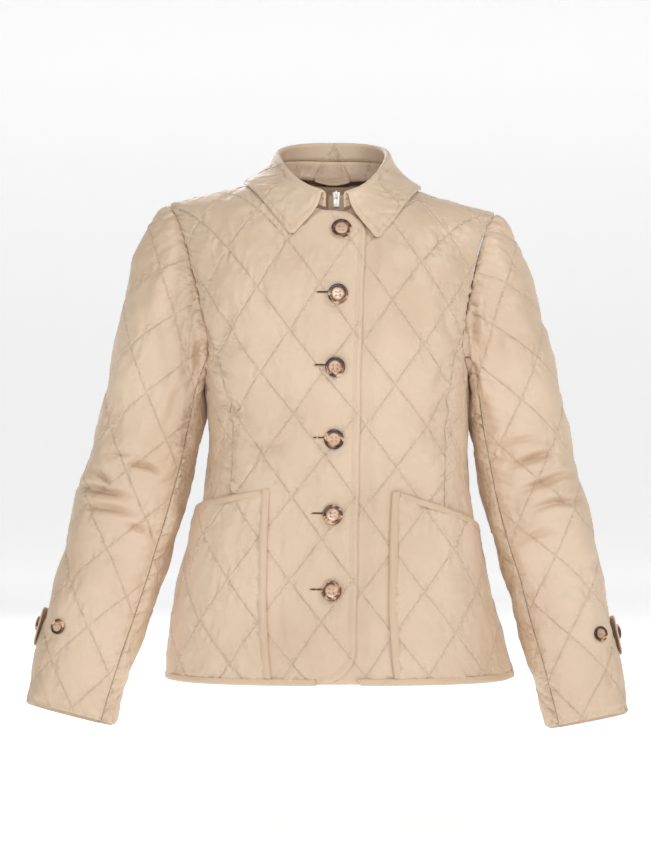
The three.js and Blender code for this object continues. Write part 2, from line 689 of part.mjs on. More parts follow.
// Where the quilting is pressed flat: under pockets, buttons and the overlap
function pocketOutline(name) {
  const { edge, frontTop, backTop } = POCKETS[name];
  const seam = panelSeams.back;
  const reach = (v) => {
    const i = clamp(seam.findIndex((p) => p.v > v) - 1, 0, seam.length - 2);
    return mix(seam[i].length, seam[i + 1].length, (v - seam[i].v) / (seam[i + 1].v - seam[i].v)) - 1.5;
  };
  const points = steps(5).map((f) => flat(edge, mix(HEM_Z + 0.4, frontTop, f)));
  const far = reach(backTop);
  steps(8).slice(1).forEach((f) => {
    points.push(flat(mix(edge, far, f), mix(frontTop, backTop, f) - 5 * Math.sin(Math.PI * f)));
  });
  steps(5).slice(1).forEach((f) => {
    const v = mix(backTop, HEM_Z + 0.4, f);
    points.push(flat(reach(v), v));
  });
  return points.filter((p, i) => i === 0 || p.distanceTo(points[i - 1]) > 0.5);
}
const inside = (outline, u, v) => {
  let within = false;
  outline.forEach((p, i) => {
    const q = outline[(i + 1) % outline.length];
    if (p.y > v !== q.y > v && u < ((q.x - p.x) * (v - p.y)) / (q.y - p.y) + p.x) within = !within;
  });
  return within;
};
const PRESSED = 0.25;

const SIDES = { right: -1, left: 1 };
const lattices = {
  right: { u: 53, v: -172.7 },
  left: { u: 68, v: -138.6 },
  back: { u: 0, v: -172.7 },
  side: { u: 0, v: -196.9 },
};

for (const [name, side] of Object.entries(SIDES)) {
  const pocket = pocketOutline(name);
  const nearPocket = (u, v) => (inside(pocket, u, v) || distanceTo(pocket, u, v) < 7 ? PRESSED : 1);
  const nearButton = (u, v) =>
    Math.min(...BUTTONS.map(({ z }) => smooth(13, 25, Math.hypot(u * side - leanX(z), v - centreCloth(z)))));
  const right = name === "right";
  const edge = right ? (v) => -OVERLAP.over - leanX(v) : (v) => leanX(v) - OVERLAP.under;
  const underLap = (u, v) => 1 - smooth(0, 22, u - (OVERLAP.over + leanX(v)));
  const collarRest = (v) => smooth(cloth.front.top + 5, -55, v);
  addCloth(
    `front_${name}`,
    quiltedPiece({
      outline: frontOutline(edge, right),
      lattice: lattices[name],
      wrap: bodyWrap("front", side),
      tall: right ? 1 : 2,
      level: right ? () => 0 : (u, v) => -(WALL + CLEAR + 1.2) * underLap(u, v),
      pressed: right
        ? (u, v) => Math.min(nearPocket(u, v), nearButton(u, v)) * mix(0.4, 1, collarRest(v))
        : (u, v) => nearPocket(u, v) * mix(1, 0.2, underLap(u, v)) * mix(0.4, 1, collarRest(v)),
    }),
    "cloth",
  );
  addCloth(
    `side_${name}`,
    quiltedPiece({
      outline: sideOutline(),
      lattice: lattices.side,
      wrap: bodyWrap("side", side),
      pressed: (u, v) => nearPocket(u + measured(v).side, v),
    }),
    "cloth",
  );
  const { gape } = POCKETS[name];
  addCloth(
    `pocket_${name}`,
    quiltedPiece({
      outline: pocket,
      lattice: lattices[name],
      wrap: bodyWrap("front", side),
      wall: POCKET_WALL,
      puff: POCKET_PUFF,
      level: (u, v) =>
        POCKET_WALL + mix(POCKET_LIFT, POCKET_LIFT + 1.6, smooth(90, 150, u)) +
        gape * smooth(-470, -385, v) * smooth(110, 190, u),
    }),
    "cloth",
  );
}
addCloth(
  "back",
  quiltedPiece({
    outline: backOutline(),
    lattice: lattices.back,
    wrap: bodyWrap("back", 1),
    pressed: (u, v) => mix(0.4, 1, smooth(cloth.back.top - 10, cloth.back.top - 60, v)),
  }),
  "cloth",
);


// Collar: its curve across, from the neck seam up to the fold and down to the outer edge
const foldAt = Object.fromEntries(["x", "y", "z", "neck"].map((k) => [k, through(COLLAR_FOLD, "step", k)]));
const edgeAt = { x: through(COLLAR_EDGE, "step", "x"), y: through(COLLAR_EDGE, "step", "y") };
const lastStep = COLLAR_FOLD.length - 1;

// a runs from -1 at the right front end, through 0 at the centre back, to 1 at the left front end.
function collarLine(a) {
  const side = Math.sign(a) || 1;
  const step = Math.abs(a) * lastStep;
  const shift = COLLAR.centre * smooth(4.5, lastStep, step);
  const turn = foldAt.neck(step) * degrees;
  const neck = neckPoint(turn < 0 ? "back" : "front", Math.abs(turn)).point;
  const fold = new THREE.Vector3(foldAt.x(step) * side + shift, foldAt.y(step), foldAt.z(step));
  neck.x = neck.x * side + shift;
  const edge = new THREE.Vector3(edgeAt.x(step) * side + shift, edgeAt.y(step), 0);
  edge.z = underPlan(edge.x, edge.y).z + COLLAR.lift;
  const out = new THREE.Vector3(edge.x - fold.x, edge.y - fold.y, 0).normalize();
  return { neck, fold, edge, out };
}
const UP = new THREE.Vector3(0, 0, 1);

// b runs from 0 at the neck seam, past the joined line, the fold's inside, top and outside, to 1 at the edge.
const INNER = 0.36;
const OVER = 0.52;
function collarPoint(a, b) {
  const { neck, fold, edge, out } = collarLine(a);
  const r = COLLAR.fold;
  const heart = fold.clone().addScaledVector(UP, -r);
  const inner = heart.clone().addScaledVector(out, -r);
  const outer = heart.clone().addScaledVector(out, r);
  if (b <= INNER) {
    const start = neck.clone().lerp(inner, 0.02);
    return start.lerp(inner, b / INNER);
  }
  if (b <= OVER) {
    const turn = ((b - INNER) / (OVER - INNER)) * Math.PI;
    return heart.addScaledVector(out, -r * Math.cos(turn)).addScaledVector(UP, r * Math.sin(turn));
  }
  const t = (b - OVER) / (1 - OVER);
  const drop = outer.z - edge.z;
  const below = outer.clone().addScaledVector(UP, -0.42 * drop).addScaledVector(out, 0.05 * drop);
  const flatOut = outer.clone().lerp(edge, 0.72).addScaledVector(UP, 0.06 * drop);
  const p = new THREE.CubicBezierCurve3(outer, below, flatOut, edge).getPoint(t);
  p.z = Math.max(p.z, underPlan(p.x, p.y).z + COLLAR.lift);
  return p;
}
function collarWrap(a, b, w) {
  const e = 0.004;
  const along = collarPoint(a + e, b).sub(collarPoint(a - e, b));
  const across = collarPoint(a, Math.min(1, b + e)).sub(collarPoint(a, Math.max(0, b - e)));
  return collarPoint(a, b).addScaledVector(along.cross(across).normalize(), w);
}
const collarLength = steps(60).reduce((sum, f, i, all) => {
  if (!i) return 0;
  return sum + collarPoint(2 * f - 1, 0.7).distanceTo(collarPoint(2 * all[i - 1] - 1, 0.7));
}, 0);
const joined = COLLAR.joined * INNER;
const between = (low, high) => (a, b, w) => collarWrap(mix(-0.999, 0.999, a), mix(low, high, b), w);
const stand = between(0.035, joined - 0.008);
const leafRows = [0, 0.15, 0.21, 0.27, 0.33, 0.42, 0.56, 0.7, 0.85, 1];
const leafStep = through(leafRows.map((b, i) => ({ i, b })), "i", "b");
const leaf = between(joined + 0.008, 1);
const leafPillow = (a, b) => {
  const down = (b - 0.3) * 1.45 * COLLAR.wide;
  const near = Math.min((1 - b) * COLLAR.wide, down, (0.5 - Math.abs(a - 0.5)) * collarLength);
  return pillow({ u: 0, v: 8 }, (a - 0.5) * collarLength, down) * smooth(0, SEAM_FADE, near);
};
addCloth(
  "collar_stand",
  gridWall(26, 1, (a, b, w) => stand(a, b, w), -COLLAR.thick / 2, COLLAR.thick / 2),
  "cloth",
);
addCloth(
  "collar_leaf",
  gridWall(
    30,
    leafRows.length - 1,
    (a, k, w) => {
      const b = leafStep(k * (leafRows.length - 1));
      return leaf(a, b, w > 0 ? w + COLLAR.puff * leafPillow(a, b) : w);
    },
    -COLLAR.thick / 2,
    COLLAR.thick / 2,
  ),
  "cloth",
);

// Sleeves: rings square to the arm, joined to the armhole by a curved sleeve head
function sleeveForm(name) {
  const side = SIDES[name];
  const rows = SLEEVES[name];
  const count = rows.length - 1;
  const centres = rows.map((r) => new THREE.Vector3(side * r.x, r.y, r.z));
  const run = [0];
  centres.forEach((c, i) => i && run.push(run[i - 1] + c.distanceTo(centres[i - 1])));
  const table = rows.map((r, i) => ({ s: run[i], x: side * r.x, y: r.y, z: r.z, half: r.half, depth: r.depth }));
  const at = Object.fromEntries(["x", "y", "z", "half", "depth"].map((k) => [k, through(table, "s", k)]));
  const centre = (s) => new THREE.Vector3(at.x(s), at.y(s), at.z(s));
  const axes = (s) => {
    const down = centre(s + 2).sub(centre(s - 2)).normalize();
    const ahead = new THREE.Vector3(0, -1, 0);
    const outer = ahead.clone().cross(down).multiplyScalar(side).normalize();
    return { outer, ahead: down.clone().cross(outer).multiplyScalar(side), down };
  };
  const onRing = (s, angle) => {
    const { outer, ahead } = axes(s);
    return centre(s)
      .addScaledVector(outer, at.half(s) * power(Math.cos(angle), 2 / SLEEVE_POWER))
      .addScaledVector(ahead, at.depth(s) * power(Math.sin(angle), 2 / SLEEVE_POWER));
  };
  const turns = 144;
  const rings = new Map();
  const lengths = (s) => {
    const key = s.toFixed(3);
    if (!rings.has(key)) {
      const along = [0];
      let last = onRing(s, -Math.PI);
      for (let i = 1; i <= turns; i++) {
        const p = onRing(s, -Math.PI + (i * 2 * Math.PI) / turns);
        along.push(along[i - 1] + p.distanceTo(last));
        last = p;
      }
      rings.set(key, along);
    }
    return rings.get(key);
  };
  // Length round a ring from the top of the arm, positive forward, for an angle, and the angle for a length
  const lengthAt = (s, angle) => {
    const along = lengths(s);
    const whole = Math.floor((angle + Math.PI) / (2 * Math.PI));
    const part = ((angle + Math.PI) / (2 * Math.PI) - whole) * turns;
    const i = Math.min(turns - 1, Math.floor(part));
    return whole * along[turns] + mix(along[i], along[i + 1], part - i) - along[turns / 2];
  };
  const angleOf = (s, length) => {
    const along = lengths(s);
    const full = length + along[turns / 2];
    const whole = Math.floor(full / along[turns]);
    const part = full - whole * along[turns];
    let i = along.findIndex((x) => x > part) - 1;
    if (i < 0) i = turns - 1;
    const f = (i + (part - along[i]) / (along[i + 1] - along[i])) / turns;
    return -Math.PI + 2 * Math.PI * (f + whole);
  };
  const wrapAngle = (angle) => angle - 2 * Math.PI * Math.round(angle / (2 * Math.PI));
  const heads = new Map();
  const head = (angle) => {
    const key = wrapAngle(angle).toFixed(5);
    if (!heads.has(key)) {
      const turn = wrapAngle(angle);
      const start = armhole[turn > 0 ? "front" : "back"](Math.min(1, Math.abs(turn) / Math.PI)).point;
      start.x *= side;
      const end = onRing(0, turn);
      const span = start.distanceTo(end);
      const out = new THREE.Vector3(side * 0.9, -0.25 * Math.sin(turn), -0.3 - 0.3 * Math.abs(Math.sin(turn / 2)));
      const into = onRing(0.5, turn).sub(end).normalize();
      const curve = new THREE.CubicBezierCurve3(
        start,
        start.clone().addScaledVector(out.normalize(), span * mix(CAP.reach, CAP.under, Math.abs(turn) / Math.PI)),
        end.clone().addScaledVector(into, -span * CAP.settle),
        end,
      );
      heads.set(key, { curve, length: curve.getLength() });
    }
    return heads.get(key);
  };
  const point = (u, v) => {
    if (v <= 0) return onRing(-v, angleOf(-v, u));
    const { curve, length } = head(angleOf(0, u));
    const t = v / length;
    if (t > 1) return curve.getPoint(1 - 1).addScaledVector(curve.getTangent(0), length - v);
    return curve.getPointAt(1 - t);
  };
  return { point, lengthAt, head, onRing, axes, length: run[count], side, at };
}
const sleeveForms = { right: sleeveForm("right"), left: sleeveForm("left") };
const CAP_GAP = 1.6;

// Outline of a sleeve piece between two seams given in degrees
function sleeveOutline(form, from, to, middle) {
  const points = [];
  const shift = (s) => form.lengthAt(s, middle * degrees);
  const down = steps(11);
  const add = (s, angle, v) => points.push(flat(form.lengthAt(s, angle * degrees) - shift(s), v));
  const rise = (angle) => form.head(angle * degrees).length - CAP_GAP / 2;
  down.forEach((f) => add(form.length * (1 - f), to, -form.length * (1 - f)));
  steps(7).slice(1, -1).forEach((f) => add(0, to, rise(to) * Math.sqrt(f)));
  steps(26).forEach((f) => add(0, mix(to, from, f), rise(mix(to, from, f))));
  steps(7).slice(1, -1).forEach((f) => add(0, from, rise(from) * Math.sqrt(1 - f)));
  down.forEach((f) => add(form.length * f, from, -form.length * f));
  return points.filter((p, i) => i === 0 || p.distanceTo(points[i - 1]) > 0.4);
}
for (const [name, side] of Object.entries(SIDES)) {
  const form = sleeveForms[name];
  const { front, back } = SLEEVE_SEAMS;
  const pieces = [
    { from: back, to: front, middle: 0, lattice: { u: 4, v: 24 } },
    { from: front, to: back + 360, middle: (front + back) / 2 + 180, lattice: { u: 37, v: 24 } },
  ];
  const [top, under] = pieces.map(({ from, to, middle, lattice }, i) => {
    const place = (u, v) => form.point(u + form.lengthAt(Math.max(0, -v), middle * degrees), v);
    return quiltedPiece({
      outline: sleeveOutline(form, from, to, middle),
      lattice,
      wrap: wrapped(place, -side),
      gap: i ? SEAM_GAP * 3 : SEAM_GAP,
    });
  });
  add(`sleeve_top_${name}`, worn(top), "cloth");
  add(`sleeve_under_${name}`, meshOf(solidOf(worn(under)).subtract(solidOf(top))), "cloth");
}


// Strips that lie on a panel: a runs along the strip and b across it, on a body face
function strip(columns, rows, place, low, high, mirrored) {
  return gridWall(columns, rows, (a, b, w) => place(a, b, w), low, high, mirrored);
}
const onBody = (face, side, uAt, vAt, levelAt) => (a, b, w) => {
  const [u, v] = [uAt(a, b), vAt(a, b)];
  return bodyWrap(face, side).place(u, v, w + levelAt(u, v));
};

// Pocket bindings: one down the front edge and one along the mouth
for (const [name, side] of Object.entries(SIDES)) {
  const { edge, frontTop, backTop, gape } = POCKETS[name];
  const far = measured(backTop).total;
  const bed = (u, v) =>
    POCKET_WALL + mix(POCKET_LIFT, POCKET_LIFT + 1.6, smooth(90, 150, u)) +
    gape * smooth(-470, -385, v) * smooth(110, 190, u);
  const low = HEM_Z + HEM_BAND.width + 2.2;
  addCloth(
    `pocket_binding_${name}`,
    strip(
      13,
      1,
      onBody("front", side, (a, b) => edge - 1.4 + BINDING.width * b, (a) => mix(low, frontTop, a), (u, v) => bed(edge, v)),
      1.1,
      1.1 + BINDING.thick,
      side > 0,
    ),
    "trim",
  );
  const mouth = pocketOutline(name).filter((p, i, all) => p.x >= edge && i > 0 && p.y >= backTop - 3);
  const line = mouth.filter((p, i) => i === 0 || p.x > mouth[i - 1].x + 1);
  const from = edge + BINDING.width;
  const to = line.at(-1).x - 3;
  const top = (u) => mix(frontTop, backTop, (u - edge) / (to + 3 - edge)) - 5 * Math.sin((Math.PI * (u - edge)) / (to + 3 - edge));
  addCloth(
    `pocket_mouth_${name}`,
    strip(
      20,
      1,
      onBody("front", side, (a) => mix(from, Math.min(to, far), a), (a, b) => top(mix(from, to, a)) - 1 - 6 * b, bed),
      1.3,
      1.3 + BINDING.thick,
      side > 0,
    ),
    "trim",
  );
}

// Hem binding: one strip along the lower edge, over the pockets, from front edge to front edge
const hemLength = measured(HEM_Z).total;
const hemStart = { right: -OVERLAP.over - leanX(HEM_Z) + OVERLAP.cornerWide + 1, left: OVERLAP.over + leanX(HEM_Z) + 4 };
const hemRise = (side, u) => {
  const { edge } = POCKETS[side];
  const pocketEnd = panelSeams.back[0].length - 1;
  const near = smooth(edge - 14, edge - 3, u) * (1 - smooth(pocketEnd + 3, pocketEnd + 14, u));
  const high = POCKET_WALL + mix(POCKET_LIFT, POCKET_LIFT + 1.6, smooth(90, 150, u));
  return mix(0.7, high + 1.4, near);
};
function hemPoint(a, b, w) {
  const span = { right: hemLength - hemStart.right, left: hemLength - hemStart.left };
  const whole = span.right + span.left;
  const along = a * whole;
  const side = along < span.right ? "right" : "left";
  const u = side === "right" ? hemStart.right + along : hemStart.left + (whole - along);
  const v = HEM_Z + 0.3 + HEM_BAND.width * b;
  return bodyWrap("front", SIDES[side]).place(Math.min(u, hemLength - 0.01), v, w + hemRise(side, u));
}
addCloth("hem_binding", gridWall(58, 1, hemPoint, 0, HEM_BAND.thick, true), "trim");

// Buttons: a dished disc with a raised rim and four holes, standing on its thread's short shank
function buttonSolid({ radius, thick, dish, rim, hole, pitch }, sides) {
  const profile = [
    [0, 0],
    [radius - 1.6, 0],
    [radius, thick * 0.5],
    [radius - 0.5, thick],
    [radius - rim, thick],
    [radius - rim - 1.2, thick - dish],
    [0, thick - dish],
  ].map(([x, y]) => new THREE.Vector2(x, y));
  const disc = solidOf(new THREE.LatheGeometry(profile, sides).rotateX(Math.PI / 2));
  const holes = [-1, 1].flatMap((x) => [-1, 1].map((y) => [x * pitch, y * pitch]));
  return holes.reduce((solid, [x, y]) => {
    const bore = new THREE.CylinderGeometry(hole, hole, 20, 4).rotateX(Math.PI / 2).translate(x, y, 0);
    return solid.subtract(solidOf(bore));
  }, disc);
}
function stood(geometry, origin, normal, up) {
  const z = normal.clone().normalize();
  const x = up.clone().cross(z).normalize();
  const y = z.clone().cross(x);
  return geometry.applyMatrix4(new THREE.Matrix4().makeBasis(x, y, z).setPosition(origin));
}
BUTTONS.forEach(({ z, lift }, i) => {
  const { place } = bodyWrap("front", -1);
  const u = -leanX(z);
  const v = centreCloth(z);
  const at = place(u, v, lift);
  const normal = place(u, v, 3).sub(place(u, v, 2));
  addHard(`button_${i + 1}`, stood(meshOf(buttonSolid(BUTTON, 12)), at, normal, UP), "horn", at);
});

// Cuff tabs: a pointed strap that lies round the sleeve, with a button at its end and another in front of it
for (const [name, side] of Object.entries(SIDES)) {
  const form = sleeveForms[name];
  const middle = -(form.length - TAB.up);
  const surface = wrapped(form.point, -side);
  const start = form.lengthAt(-middle, SLEEVE_SEAMS.back * degrees) + 1;
  const end = form.lengthAt(-middle, 6 * degrees);
  const tabPoint = (a, b, w) => {
    const taper = TAB.half * (1 - 0.45 * smooth(0.86, 1, a));
    const u = mix(start, end, a) - TAB.point * Math.abs(2 * b - 1) ** 1.5 * smooth(0.7, 1, a);
    return surface.place(u, middle + taper * (2 * b - 1), TAB.lift + w + TAB.gape * smooth(0.5, 1, a));
  };
  addCloth(`cuff_tab_${name}`, gridWall(10, 4, tabPoint, 0, TAB.wall, side > 0), "cloth");
  const buttonAt = (label, u, v, lift) => {
    const at = surface.place(u, v, lift);
    const normal = surface.place(u, v, 3).sub(surface.place(u, v, 2));
    addHard(`cuff_button_${label}_${name}`, stood(meshOf(buttonSolid(CUFF_BUTTON, 10)), at, normal, UP), "horn", at);
  };
  buttonAt("end", end - 15, middle + 3, TAB.lift + TAB.gape + TAB.wall + 0.6);
  buttonAt("front", form.lengthAt(-middle, CUFF_BUTTON_ANGLE * degrees), middle + 2, 2.4);
}

// Zip behind the fronts: two tapes whose upper ends show in the neck opening, a slider and its pull
const ZIP = { tape: 15, gap: 1.2, thick: 1, top: -13, bottom: -555, depth: 10.4, x: 4.5 };
const zipLevels = [-540, -480, -400, -320, -240, -170, -120, -80, -60];
const zipBehind = zipLevels.map((z) => bodyWrap("front", 1).place(0, centreCloth(z), -ZIP.depth));
const zipDepth = through([...zipBehind, { z: -42, y: -79.5 }, { z: -12, y: -78.5 }], "z", "y");
for (const [name, side] of Object.entries(SIDES)) {
  const tapePoint = (a, b, w) => {
    const z = mix(ZIP.bottom, ZIP.top, a);
    const middle = mix(ZIP.x, leanX(z) + bodyShift(Math.min(z, CHEST_Z)), smooth(-20, -60, z));
    const reach = ZIP.gap / 2 + ZIP.tape * b * mix(1, 0.55, smooth(-60, -14, z));
    return new THREE.Vector3(middle + side * reach, zipDepth(z) - w, z);
  };
  addCloth(`zip_tape_${name}`, gridWall(15, 1, tapePoint, 0, ZIP.thick, side > 0), "trim");
}
const box = (x, y, z, w, d, h) => solidOf(new THREE.BoxGeometry(w, d, h).translate(x, y, z));
const PULL = { x: 4.5, y: -84.4, z: -10.2, bar: 1.2, wide: 7, long: 17, thick: 1.2 };
const faceY = PULL.y + 1.1;
const slider = box(PULL.x, faceY + 1, PULL.z - 5, 9, 2, 12)
  .add(box(PULL.x, PULL.y - 0.55, PULL.z + 1.7, 1.8, 3.5, 1.2))
  .add(box(PULL.x, PULL.y - 0.55, PULL.z - 5.6, 1.8, 3.5, 1.2))
  .add(box(PULL.x, PULL.y - 1.7, PULL.z - 1.95, 1.8, 1.2, 8.5));
const pivot = new THREE.Vector3(PULL.x, PULL.y, PULL.z);
addHard("zip_slider", meshOf(slider), "metal", pivot);
const plate = box(PULL.x, PULL.y, PULL.z + PULL.bar / 2 - PULL.long / 2, PULL.wide, PULL.thick, PULL.long)
  .subtract(box(PULL.x, PULL.y, PULL.z - 4, 3.4, 4, 6.8));
addHard("zip_pull", meshOf(plate), "metal", pivot);

// Hanger loop: a thin strip across the inside of the back neck
const LOOP = { half: 21, wide: 7, thick: 1.2, drop: 4, bow: 2.2 };
const loopPoint = (a, b, w) => {
  const x = mix(-LOOP.half, LOOP.half, a);
  const slack = Math.sin(Math.PI * a);
  const behind = NECK.back * Math.sqrt(1 - (x / NECK.half) ** 2) - 2.9;
  return new THREE.Vector3(x, behind - LOOP.bow * slack + w, 13 - LOOP.drop * slack + LOOP.wide * b);
};
addCloth("hanger_loop", gridWall(8, 1, loopPoint, 0, LOOP.thick, true), "trim");

export default group;
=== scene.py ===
# A fitted quilted jacket as it hangs when worn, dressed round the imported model.
# Lengths are in millimetres until a mesh is made. +Z is up and the front faces -Y. The wearer's right arm is
# at -X.
# Each cloth piece is cut flat, as (u, v) points, quilted, and wrapped on the garment's form.
import math

import bmesh
import bpy
import numpy as np
from mathutils import Matrix, Vector, kdtree
from mathutils.geometry import delaunay_2d_cdt


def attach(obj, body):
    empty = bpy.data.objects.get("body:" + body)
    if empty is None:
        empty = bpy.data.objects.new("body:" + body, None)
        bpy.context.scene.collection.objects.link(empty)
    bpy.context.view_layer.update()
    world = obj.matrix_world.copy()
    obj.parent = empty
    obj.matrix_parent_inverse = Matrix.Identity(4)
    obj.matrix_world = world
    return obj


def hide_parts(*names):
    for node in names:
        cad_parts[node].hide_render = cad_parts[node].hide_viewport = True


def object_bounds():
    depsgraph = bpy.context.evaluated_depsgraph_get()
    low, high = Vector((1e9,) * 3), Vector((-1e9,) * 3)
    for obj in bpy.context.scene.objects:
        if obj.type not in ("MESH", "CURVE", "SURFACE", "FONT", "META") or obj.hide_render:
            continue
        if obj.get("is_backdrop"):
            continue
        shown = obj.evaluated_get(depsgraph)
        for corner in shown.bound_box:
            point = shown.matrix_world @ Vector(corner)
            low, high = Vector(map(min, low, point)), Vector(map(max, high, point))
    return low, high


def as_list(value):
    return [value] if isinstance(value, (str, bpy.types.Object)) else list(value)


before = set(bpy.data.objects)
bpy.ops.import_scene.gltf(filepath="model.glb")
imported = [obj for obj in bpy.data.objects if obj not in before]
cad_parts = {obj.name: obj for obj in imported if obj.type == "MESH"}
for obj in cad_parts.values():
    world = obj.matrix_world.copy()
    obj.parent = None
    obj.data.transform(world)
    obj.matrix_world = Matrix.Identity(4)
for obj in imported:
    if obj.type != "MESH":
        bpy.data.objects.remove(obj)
cad_low, cad_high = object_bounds()
MM = 0.001

# The camera stands straight before the jacket, 3.5 m away
CAMERA = {"x": -13.8, "z": -293, "away": 3500, "scale": 1.2, "wide": 651, "tall": 868}
bpy.ops.object.select_all(action="DESELECT")
bpy.ops.object.camera_add(
    location=(CAMERA["x"] * MM, -CAMERA["away"] * MM, CAMERA["z"] * MM),
    rotation=(math.pi / 2, 0, 0),
)
camera = bpy.context.object
camera.name = "camera"
camera.data.sensor_width = 36
camera.data.lens = 36 * CAMERA["away"] / (CAMERA["tall"] * CAMERA["scale"])
bpy.context.scene.camera = camera


# Small mathematics
def mix(a, b, t):
    """From a to b by a share t."""
    return a + (b - a) * t


def smooth(low, high, x):
    """Rises softly from 0 to 1 between two values. It falls where low is the larger."""
    t = np.clip((x - low) / (high - low), 0, 1)
    return t * t * (3 - 2 * t)


def signed_power(x, p):
    return np.sign(x) * np.abs(x) ** p


def radians(angle):
    return angle * math.pi / 180


def rows(names, *lines):
    """A table: one array for each named column."""
    return {name: np.array([line[i] for line in lines], float) for i, name in enumerate(names.split())}


def through(table, key, value):
    """A smooth function through a table: column value against column key."""
    x, y = table[key], table[value]
    last = len(x) - 1
    before = np.maximum(np.arange(len(x)) - 1, 0)
    after = np.minimum(np.arange(len(x)) + 1, last)
    slope = (y[after] - y[before]) / (x[after] - x[before])

    def at(q):
        q = np.asarray(q, float)
        i = np.clip(np.searchsorted(x, q, side="right") - 1, 0, last - 1)
        d = x[i + 1] - x[i]
        t = (q - x[i]) / d
        curve = (
            y[i] * (2 * t**3 - 3 * t**2 + 1)
            + slope[i] * d * (t**3 - 2 * t**2 + t)
            + y[i + 1] * (3 * t**2 - 2 * t**3)
            + slope[i + 1] * d * (t**3 - t**2)
        )
        low = y[0] + slope[0] * (q - x[0])
        high = y[last] + slope[last] * (q - x[last])
        return np.where(q <= x[0], low, np.where(q >= x[last], high, curve))

    return at


def unit(v):
    return v / np.maximum(np.linalg.norm(v, axis=-1, keepdims=True), 1e-12)


def run_of(points):
    """Lengths from the start of a row of points, or of each row of a table."""
    step = np.linalg.norm(np.diff(points, axis=-2), axis=-1)
    return np.concatenate([np.zeros(step.shape[:-1] + (1,)), np.cumsum(step, axis=-1)], axis=-1)


def uniform(value):
    """The same value over a whole flat piece."""
    return lambda u, v: value + 0 * u


def chance(cells, seed):
    """An even random number from -1 to 1 for each whole-numbered cell."""
    h = np.full(cells[0].shape, seed * 974634777, np.int64)
    for cell, prime in zip(cells, (374761393, 668265263, 2147483647)):
        h = (h + cell.astype(np.int64) * prime) & 0xFFFFFFFF
        h = ((h ^ (h >> 15)) * 2246822519) & 0xFFFFFFFF
    h = ((h ^ (h >> 13)) * 3266489917) & 0xFFFFFFFF
    return ((h ^ (h >> 16)) & 0xFFFF) / 32767.5 - 1


def noise(seed, *axes):
    """Smooth noise from about -1 to 1, in one, two or three directions."""
    axes = np.broadcast_arrays(*[np.asarray(a, float) for a in axes])
    whole = [np.floor(a) for a in axes]
    part = [a - w for a, w in zip(axes, whole)]
    fade = [t * t * t * (t * (6 * t - 15) + 10) for t in part]
    total = 0
    for corner in range(2 ** len(axes)):
        bits = [(corner >> k) & 1 for k in range(len(axes))]
        weight = 1
        for bit, f in zip(bits, fade):
            weight = weight * (f if bit else 1 - f)
        total = total + weight * chance([w + bit for w, bit in zip(whole, bits)], seed)
    return total


# The garment's form, the same as the solids have
WALL = 2.4
LINED = {"rows": (-1.7, -0.8, 0, 0.8, 1.7), "clear": 2.4}
SLEEVE_PUCKERED = {"top": 1.25, "under": 1.8}
PUFF = 2.9
SEAM_GAP = 0.3
QUILT = {"wide": 74, "tall": 96.6}
DIAMOND_SIDE = math.hypot(QUILT["wide"], QUILT["tall"]) / 2

BODY_RINGS = rows(
    "z half front back shift",
    (-583, 202.5, 131, 114, 3),
    (-540, 195, 129, 114, -1),
    (-492, 185, 125, 112, -3.5),
    (-444, 175, 120, 108, -3),
    (-400, 165.5, 115, 103, -2),
    (-360, 157.5, 110, 97, 0),
    (-305, 153, 107, 91, 1.5),
    (-265, 154.5, 112, 94, 1.5),
    (-229, 158, 120, 99, 0),
    (-170, 163, 128, 105, 0),
)
HEM_Z = -583
CHEST_Z = -170
TOP_Z = -24
PLAN_POWER = 2.5
FACE_POWER = {"front": 2.05, "back": 2.6}
SHOULDER = {"half": 197, "top": 34, "slope": 0.291, "soft": 40, "spread": 1.3}
CLOTH_LINE_X = 110
NECK = {"half": 66, "front": 90, "back": 54}
ARMHOLE = rows(
    "level front back",
    (-24, 9, 9),
    (-50, 17, 15),
    (-72, 18, 16),
    (-98, 18.3, 16.5),
    (-126, 19, 17.5),
    (-151, 21, 19.5),
    (-172, 23, 22),
    (-192, 22.5, 22.5),
    (-207, 18.5, 18.5),
    (-219, 12, 12),
    (-226, 6, 6),
    (-229, 0, 0),
)
PANEL_LEVEL = -151
PANEL_SEAMS = rows(
    "z front back",
    (-583, 143, 136),
    (-520, 137, 130),
    (-444, 131, 124),
    (-360, 126.5, 117),
    (-300, 126, 116),
    (-260, 129, 121),
    (-228, 134, 129),
    (-193, 144, 142),
    (-170, 152, 152.5),
)
BUTTON_LINE = rows(
    "z x",
    (-590, -11),
    (-480, -3.5),
    (-390, -4),
    (-300, -5.5),
    (-214, -1.2),
    (-130, 4.8),
    (-54, 10.3),
    (-20, 11.5),
)
OVERLAP = {"over": 30, "under": 28, "corner_wide": 46, "corner_tall": 42, "top_corner": 26}
BUTTONS = ((-54, 0.3), (-131, 0.8), (-215, 0.8), (-299, 1.2), (-387, 1.2), (-475, 1.2))
POCKETS = {
    "right": {"edge": 81, "front_top": -357, "back_top": -392, "gape": 1.2},
    "left": {"edge": 65, "front_top": -360, "back_top": -432, "gape": 0.8},
}
POCKET_WALL = 2
POCKET_LIFT = 1.1
POCKET_FULL = {"lift": 2.7, "from": 90, "to": 150}
POCKET_MOUTH = {"low": -470, "high": -385, "near": 110, "far": 190}
BINDING_WIDE = 8.5
HEM_BAND = 6.5
